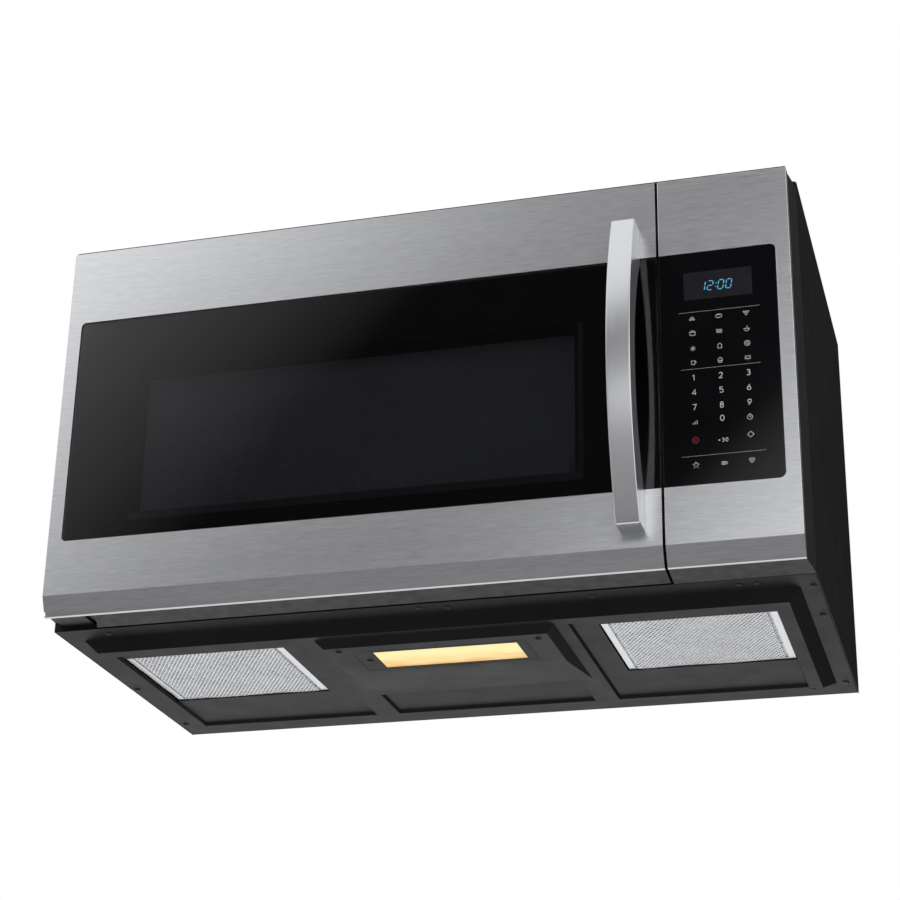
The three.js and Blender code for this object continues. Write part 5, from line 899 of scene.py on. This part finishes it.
def front():
    """The door and the panel."""
    window_print()
    latch_coil()
    display_pane()
    clock_figures()
    keypad_marks()
    stop_mark()
    steel_skin("door_skin", "door_steel", "door_glass", DOOR_GLASS_RADIUS)
    steel_skin("control_fascia", "panel_steel", "control_glass", PANEL_GLASS_RADIUS)
    door_radii, panel_radii = (DOOR_GLASS_RADIUS, SEAM_RADIUS), (SEAM_RADIUS, PANEL_GLASS_RADIUS)
    glass_sheet("door_glass", "door_glass_sheet", door_radii, tinted_glass(), GLASS_GAP)
    glass_sheet("control_glass", "panel_glass_sheet", panel_radii, SLOT_FINISHES["black_glass"])
    eased("door_frame", "door_frame_moulding", SOFT_EDGE)
    eased("control_housing", "panel_housing_moulding", SOFT_EDGE)
    eased("vent_grille", "vent_grille_moulding", FINE_EDGE)
    eased("choke_cover", "choke_cover_moulding", FINE_EDGE)
    handle()


# ---------------------------------------------------------------- case and underside

SCREW_RISE = 1.6 * MM
SCREW_STEPS = 20
# The head from its rim to the flat round its recess, as shares of its radius and rise.
SCREW_DOME = ((1.0, 0.0), (0.97, 0.35), (0.82, 0.75), (0.62, 0.95))
# The recess: its arms' reach and half width as shares of the head's radius, and what is left
# of them and of the head's rise at its floor.
CROSS_REACH, CROSS_HALF, CROSS_TAPER, CROSS_FLOOR = 0.52, 0.12, 0.8, 0.25


def screw(bm, place, outward, radius):
    """A domed head with a cross recess, standing on place and facing outward."""
    arm, half = radius * CROSS_REACH, radius * CROSS_HALF
    cross = [(arm, half), (half, half), (half, arm), (-half, arm), (-half, half), (-arm, half)]
    cross += [(-x, -y) for x, y in cross]
    angles = [2 * math.pi * i / SCREW_STEPS for i in range(SCREW_STEPS)]
    dome = []
    for share, height in SCREW_DOME:
        across, rise = radius * share, SCREW_RISE * height
        dome.append([Vector((across * math.cos(a), across * math.sin(a), rise)) for a in angles])
    brim = [Vector((x, y, SCREW_RISE)) for x, y in cross]
    sunk = [Vector((x * CROSS_TAPER, y * CROSS_TAPER, SCREW_RISE * CROSS_FLOOR)) for x, y in cross]
    turn = outward.to_track_quat("Z", "Y").to_matrix().to_4x4()
    move = Matrix.Translation(place) @ turn
    *sides, top, bottom = ([bm.verts.new(move @ p) for p in ring] for ring in (*dome, brim, sunk))
    for lower, upper in zip(sides, sides[1:]):
        bridged(bm, lower, upper)
    around = sides[-1] + top
    for triangle in geometry.tessellate_polygon([dome[-1], brim]):
        bm.faces.new([around[i] for i in triangle])
    bridged(bm, top, bottom)
    bm.faces.new(bottom)
    bm.faces.new(reversed(sides[0]))


def screws(name, places, outward, radius):
    """Screw heads of the cabinet that face one way, as one piece."""
    bm = bmesh.new()
    for place in places:
        screw(bm, place, outward, radius)
    bmesh.ops.recalc_face_normals(bm, faces=bm.faces)
    made(name, bm, [screw_black()], "cabinet")


FILTER_RAIL_SEEN = 10 * MM
FILTER_OPENING = (113.5, 259.5)
NET_PITCH, NET_HALF_WIDTH, NET_HALF_THICKNESS = 3.6 * MM, 0.98 * MM, 0.2 * MM
# A strand's step along itself and its swing to each side, as shares of the net's pitch.
NET_STEP, NET_SWING = 0.6, 0.42
NET_TILT = 0.6
NET_SAG = 0.1 * MM
# The net isn't flat: it swells in slow waves, and every corner is a little out of place.
NET_SWELL, SWELLS_ACROSS, SWELLS_ALONG = 0.25 * MM, 70, 45
CORNER_ASTRAY, CORNER_UNEVEN = 0.2 * MM, 0.12 * MM


def filter_net(bm, left, right, front, back, height, jitter):
    """Expanded metal: zigzag strands side by side, which meet at their corners to form diamonds."""
    rows = int((back - front) / NET_PITCH)
    steps = int((right - left) / (NET_PITCH * NET_STEP))
    across, along = (right - left) / steps, (back - front) / rows
    wide, half = NET_HALF_WIDTH, NET_HALF_THICKNESS
    for row in range(rows):
        rings = []
        for i in range(steps + 1):
            up = 1 if (row + i) % 2 else -1
            x = left + across * i
            y = front + along * (row + 0.5 + NET_SWING * up) + jitter.uniform(-CORNER_ASTRAY, CORNER_ASTRAY)
            swell = NET_SWELL * math.sin(x * SWELLS_ACROSS + 2 * math.sin(y * SWELLS_ALONG))
            z = height + swell + jitter.uniform(-CORNER_UNEVEN, CORNER_UNEVEN)
            tilt = half * up * NET_TILT
            section = (
                (x, y - wide, z - half + tilt), (x, y + wide, z - half - tilt),
                (x, y + wide, z + half - tilt), (x, y - wide, z + half + tilt),
            )
            rings.append([bm.verts.new(p) for p in section])
        capped(bm, rings)


def grease_filters():
    """Each filter's frame, with painted shade on it where its lower layers show, and the net over it."""
    jitter = random.Random(4)
    wire, depth = filter_wire(), filter_layers_painted_shade()
    front, back = (at(0, y, 0).y for y in FILTER_OPENING)
    for side in ("left", "right"):
        node = "grease_filter_" + side
        low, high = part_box(node)

        def lower_layers(face):
            height = face.calc_center_median().z
            return int(abs(face.normal.z) > 0.9 and low.z + MM < height < high.z - MM)

        eased(node, "filter_frame_" + side, SOFT_EDGE, [SLOT_FINISHES["aluminium"], depth], lower_layers)
        left, right = low.x + FILTER_RAIL_SEEN, high.x - FILTER_RAIL_SEEN
        bm = bmesh.new()
        filter_net(bm, left, right, front, back, low.z - NET_SAG, jitter)
        bmesh.ops.recalc_face_normals(bm, faces=bm.faces)
        made("filter_net_" + side, bm, [wire], BODY_OF[node], weighted=False)


def surface(node, start, way):
    """Where a ray from start first meets the node, or None."""
    mesh = frame["nodes"][node].data
    tree = BVHTree.FromPolygons([v.co for v in mesh.vertices], [p.vertices for p in mesh.polygons])
    return tree.ray_cast(start, way)[0]


# Screws on the underside, in millimetres across and back from the front's lower left corner.
FRONT_EDGE_SCREWS = ((52.9, 58.3), (377.9, 53.1), (405.3, 57.5), (546.2, 57.7), (685.4, 56.3), (702, 56.3))
SIDE_EDGE_SCREWS = ((752, 73.6), (751.1, 157), (749.7, 372.9), (6.2, 238.7), (8.6, 372.1), (713.5, 389))
LAMP_SCREWS = ((278, 110), (481, 112), (301, 142))
UNDERSIDE = ("outer_case", "base_plate", "door_frame", "lamp_cover")
WELL_BELOW = -60
WELL_BEHIND = 0.1
BACK_SCREW_INSET = 22 * MM
UNDERSIDE_SCREW_RADIUS, BACK_SCREW_RADIUS = 3.4 * MM, 3.6 * MM


def case_screws():
    """Screw heads seated on the lowest sheet above each place, and on the back plate."""
    under = []
    for x, y in FRONT_EDGE_SCREWS + SIDE_EDGE_SCREWS + LAMP_SCREWS:
        hits = [surface(node, at(x, y, WELL_BELOW), UP) for node in UNDERSIDE]
        lowest = min((hit for hit in hits if hit), key=lambda hit: hit.z, default=None)
        if lowest:
            under.append(lowest)
    screws("underside_screws", under, -UP, UNDERSIDE_SCREW_RADIUS)

    left, right = CASE_LOW.x, CASE_HIGH.x
    inset = BACK_SCREW_INSET
    behind = []
    for x in (left + inset, (left * 2 + right) / 3, (left + right * 2) / 3, right - inset):
        for z in (CASE_LOW.z + inset, CASE_HIGH.z - inset):
            behind.append(surface("back_plate", Vector((x, WELL_BEHIND, z)), -BACK))
    screws("back_screws", [p for p in behind if p], BACK, BACK_SCREW_RADIUS)


def case():
    """The case and its underside."""
    grease_filters()
    case_screws()
    eased("outer_case", "case_wrap", FINE_EDGE)
    eased("base_plate", "underside_pan", FINE_EDGE, sharp=CREASE)
    eased("lamp_cover", "lamp_cover_plate", FINE_EDGE)
    eased("lamp_lens", "lamp_lens_moulding", FINE_EDGE)
    eased("cord_gland", "cord_gland_moulding", FINE_EDGE)


# ---------------------------------------------------------------- camera, light and backdrop

CAMERA_PLACE = (0.5673, -2.2457, -0.7593)
# The camera's turns about its X, Y and Z: from straight down up to the oven, its roll, and to the left.
CAMERA_TURN = (113.748, -1.0308, 15.5818)
FOCAL_PIXELS = 2167.85
PICTURE = 900
SENSOR = 36.0


def camera():
    lens = bpy.data.cameras.new("camera")
    lens.sensor_width = SENSOR
    lens.lens = FOCAL_PIXELS / PICTURE * SENSOR
    eye = bpy.data.objects.new("camera", lens)
    turn = Euler([math.radians(angle) for angle in CAMERA_TURN])
    eye.matrix_world = Matrix.Translation(CAMERA_PLACE) @ turn.to_matrix().to_4x4()
    bpy.context.scene.collection.objects.link(eye)
    bpy.context.scene.camera = eye


KEY_PLACE, KEY_TARGET = Vector((-1.9, -2.3, 1.7)), Vector((0, -0.3, 0.1))
KEY_SIZE, KEY_POWER = 1.2, 22


def key_lamp():
    """A soft lamp above the front's left, which nothing mirrors."""
    lamp = bpy.data.lights.new("key_lamp", "AREA")
    lamp.shape = "RECTANGLE"
    lamp.size = KEY_SIZE
    lamp.size_y = KEY_SIZE
    lamp.energy = KEY_POWER
    holder = bpy.data.objects.new("key_lamp", lamp)
    holder.location = KEY_PLACE
    holder.rotation_euler = (KEY_TARGET - KEY_PLACE).to_track_quat("-Z", "Y").to_euler()
    holder.visible_glossy = False
    bpy.context.scene.collection.objects.link(holder)


AMBIENT, WHITE = 0.55, 1.0


def world():
    """A sky that the camera, mirrors and glass see white, and that lights the rest plainly."""
    sky = bpy.data.worlds.new("white_studio")
    bpy.context.scene.world = sky
    sky.use_nodes = True
    nodes, links = sky.node_tree.nodes, sky.node_tree.links
    path = nodes.new("ShaderNodeLightPath")
    seen = path.outputs["Is Camera Ray"]
    for kind in ("Is Glossy Ray", "Is Transmission Ray"):
        either = nodes.new("ShaderNodeMath")
        either.operation = "MAXIMUM"
        links.new(seen, either.inputs[0])
        links.new(path.outputs[kind], either.inputs[1])
        seen = either.outputs[0]
    level = nodes.new("ShaderNodeMapRange")
    level.inputs["To Min"].default_value = AMBIENT
    level.inputs["To Max"].default_value = WHITE
    links.new(seen, level.inputs["Value"])
    nodes["Background"].inputs["Color"].default_value = (1, 1, 1, 1)
    links.new(level.outputs[0], nodes["Background"].inputs["Strength"])


def stage_card(name, corners, finish):
    """A flat piece of the studio, which isn't part of the oven."""
    bm = bmesh.new()
    bm.faces.new([bm.verts.new(p) for p in corners])
    mesh = bpy.data.meshes.new(name)
    bm.to_mesh(mesh)
    bm.free()
    mesh.materials.append(finish.material)
    card = bpy.data.objects.new(name, mesh)
    bpy.context.scene.collection.objects.link(card)
    return card


FLOOR_HEIGHT, FLOOR_HALF = -1.45, 6.0
# Mirrors see the floor as a plain glow, which fades between these depths in front of the oven.
FLOOR_FADE, FLOOR_GLOW = (-2.0, -0.7), (0.12, 1.0)


def floor():
    """A pale floor well below the oven, which can't be seen from under it."""
    finish = Finish("pale_floor", Roughness=0.9, Specular_IOR_Level=0.1)
    finish.colour(finish.grain(3, 2), "#f4f4f3", "#fafafa")
    glow = finish.ranged(finish.axis("Y"), *FLOOR_FADE, *FLOOR_GLOW)
    white = finish.add("Emission", {"Strength": glow}).outputs[0]
    mirrored = finish.add("LightPath", {}).outputs["Is Glossy Ray"]
    above = finish.add("MixShader", {0: mirrored, 1: finish.shader.outputs[0], 2: white}).outputs[0]
    below = finish.add("NewGeometry", {}).outputs["Backfacing"]
    clear = finish.add("BsdfTransparent", {}).outputs[0]
    finish.show(finish.add("MixShader", {0: below, 1: above, 2: clear}))
    signs = ((-1, -1), (1, -1), (1, 1), (-1, 1))
    stage_card("floor", [(x * FLOOR_HALF, y * FLOOR_HALF, FLOOR_HEIGHT) for x, y in signs], finish)


def upright(start, end, low, high):
    """The corners of an upright card over the line from start to end, as seen from above."""
    return (*start, low), (*end, low), (*end, high), (*start, high)


FRONT_CARD = upright((-3.8, -2.75), (2.4, -2.75), -1.4, 2.9)
SIDE_CARD = upright((1.6, -0.2), (0.5, 6.0), -1.4, 4.0)
FRONT_TONE, SIDE_TONE, DARK_TONE = 1.55, 1.0, 0.05
# The front card's dark band, across its slant, and how dark it is low down.
BAND_DARKENS, BAND_LIGHTENS = (-3.4, -2.25), (-1.15, -0.7)
LOW_FADE, LOW_SHARE = (0.15, 0.65), 0.8
SIDE_DARKENS = (-0.2, 0.6)


def studio_card(name, corners, dark_share, light_tone):
    """A card that only metal, paint and glass mirror: light, but dark where dark_share says."""
    finish = Finish(name)
    tone = finish.ranged(dark_share(finish), 0.0, 1.0, light_tone, DARK_TONE)
    finish.show(finish.add("Emission", {"Strength": tone}))
    card = stage_card(name, corners, finish)
    for ray in ("visible_camera", "visible_diffuse", "visible_shadow"):
        setattr(card, ray, False)


def front_share(finish):
    """Dark in a slanted band with soft edges across the front's reflection, and low down."""
    across = finish.calc("SUBTRACT", finish.axis("X"), finish.axis("Z"))
    darkening = finish.ranged(across, *BAND_DARKENS)
    lightening = finish.ranged(across, *BAND_LIGHTENS, 1.0, 0.0)
    low = finish.ranged(finish.axis("Z"), *LOW_FADE, LOW_SHARE, 0.0)
    return finish.calc("MAXIMUM", finish.calc("MULTIPLY", darkening, lightening), low)


def side_share(finish):
    """Dark but for a soft edge at the front, where the light comes round the case."""
    return finish.ranged(finish.axis("Y"), *SIDE_DARKENS)


def studio():
    bpy.context.scene.view_settings.view_transform = "Standard"
    camera()
    world()
    floor()
    studio_card("front_card", FRONT_CARD, front_share, FRONT_TONE)
    studio_card("side_card", SIDE_CARD, side_share, SIDE_TONE)
    key_lamp()


# ---------------------------------------------------------------- the object

def plain_nodes():
    """Each CAD node in its slot's finish, but the hinges in their own black."""
    for node, piece in frame["nodes"].items():
        piece.data.materials.clear()
        piece.data.materials.append(SLOT_FINISHES[SLOT_OF[node]])
    black = hinge_black()
    for node in ("hinge_top", "hinge_bottom"):
        frame["nodes"][node].data.materials[0] = black


plain_nodes()
studio()
front()
case()
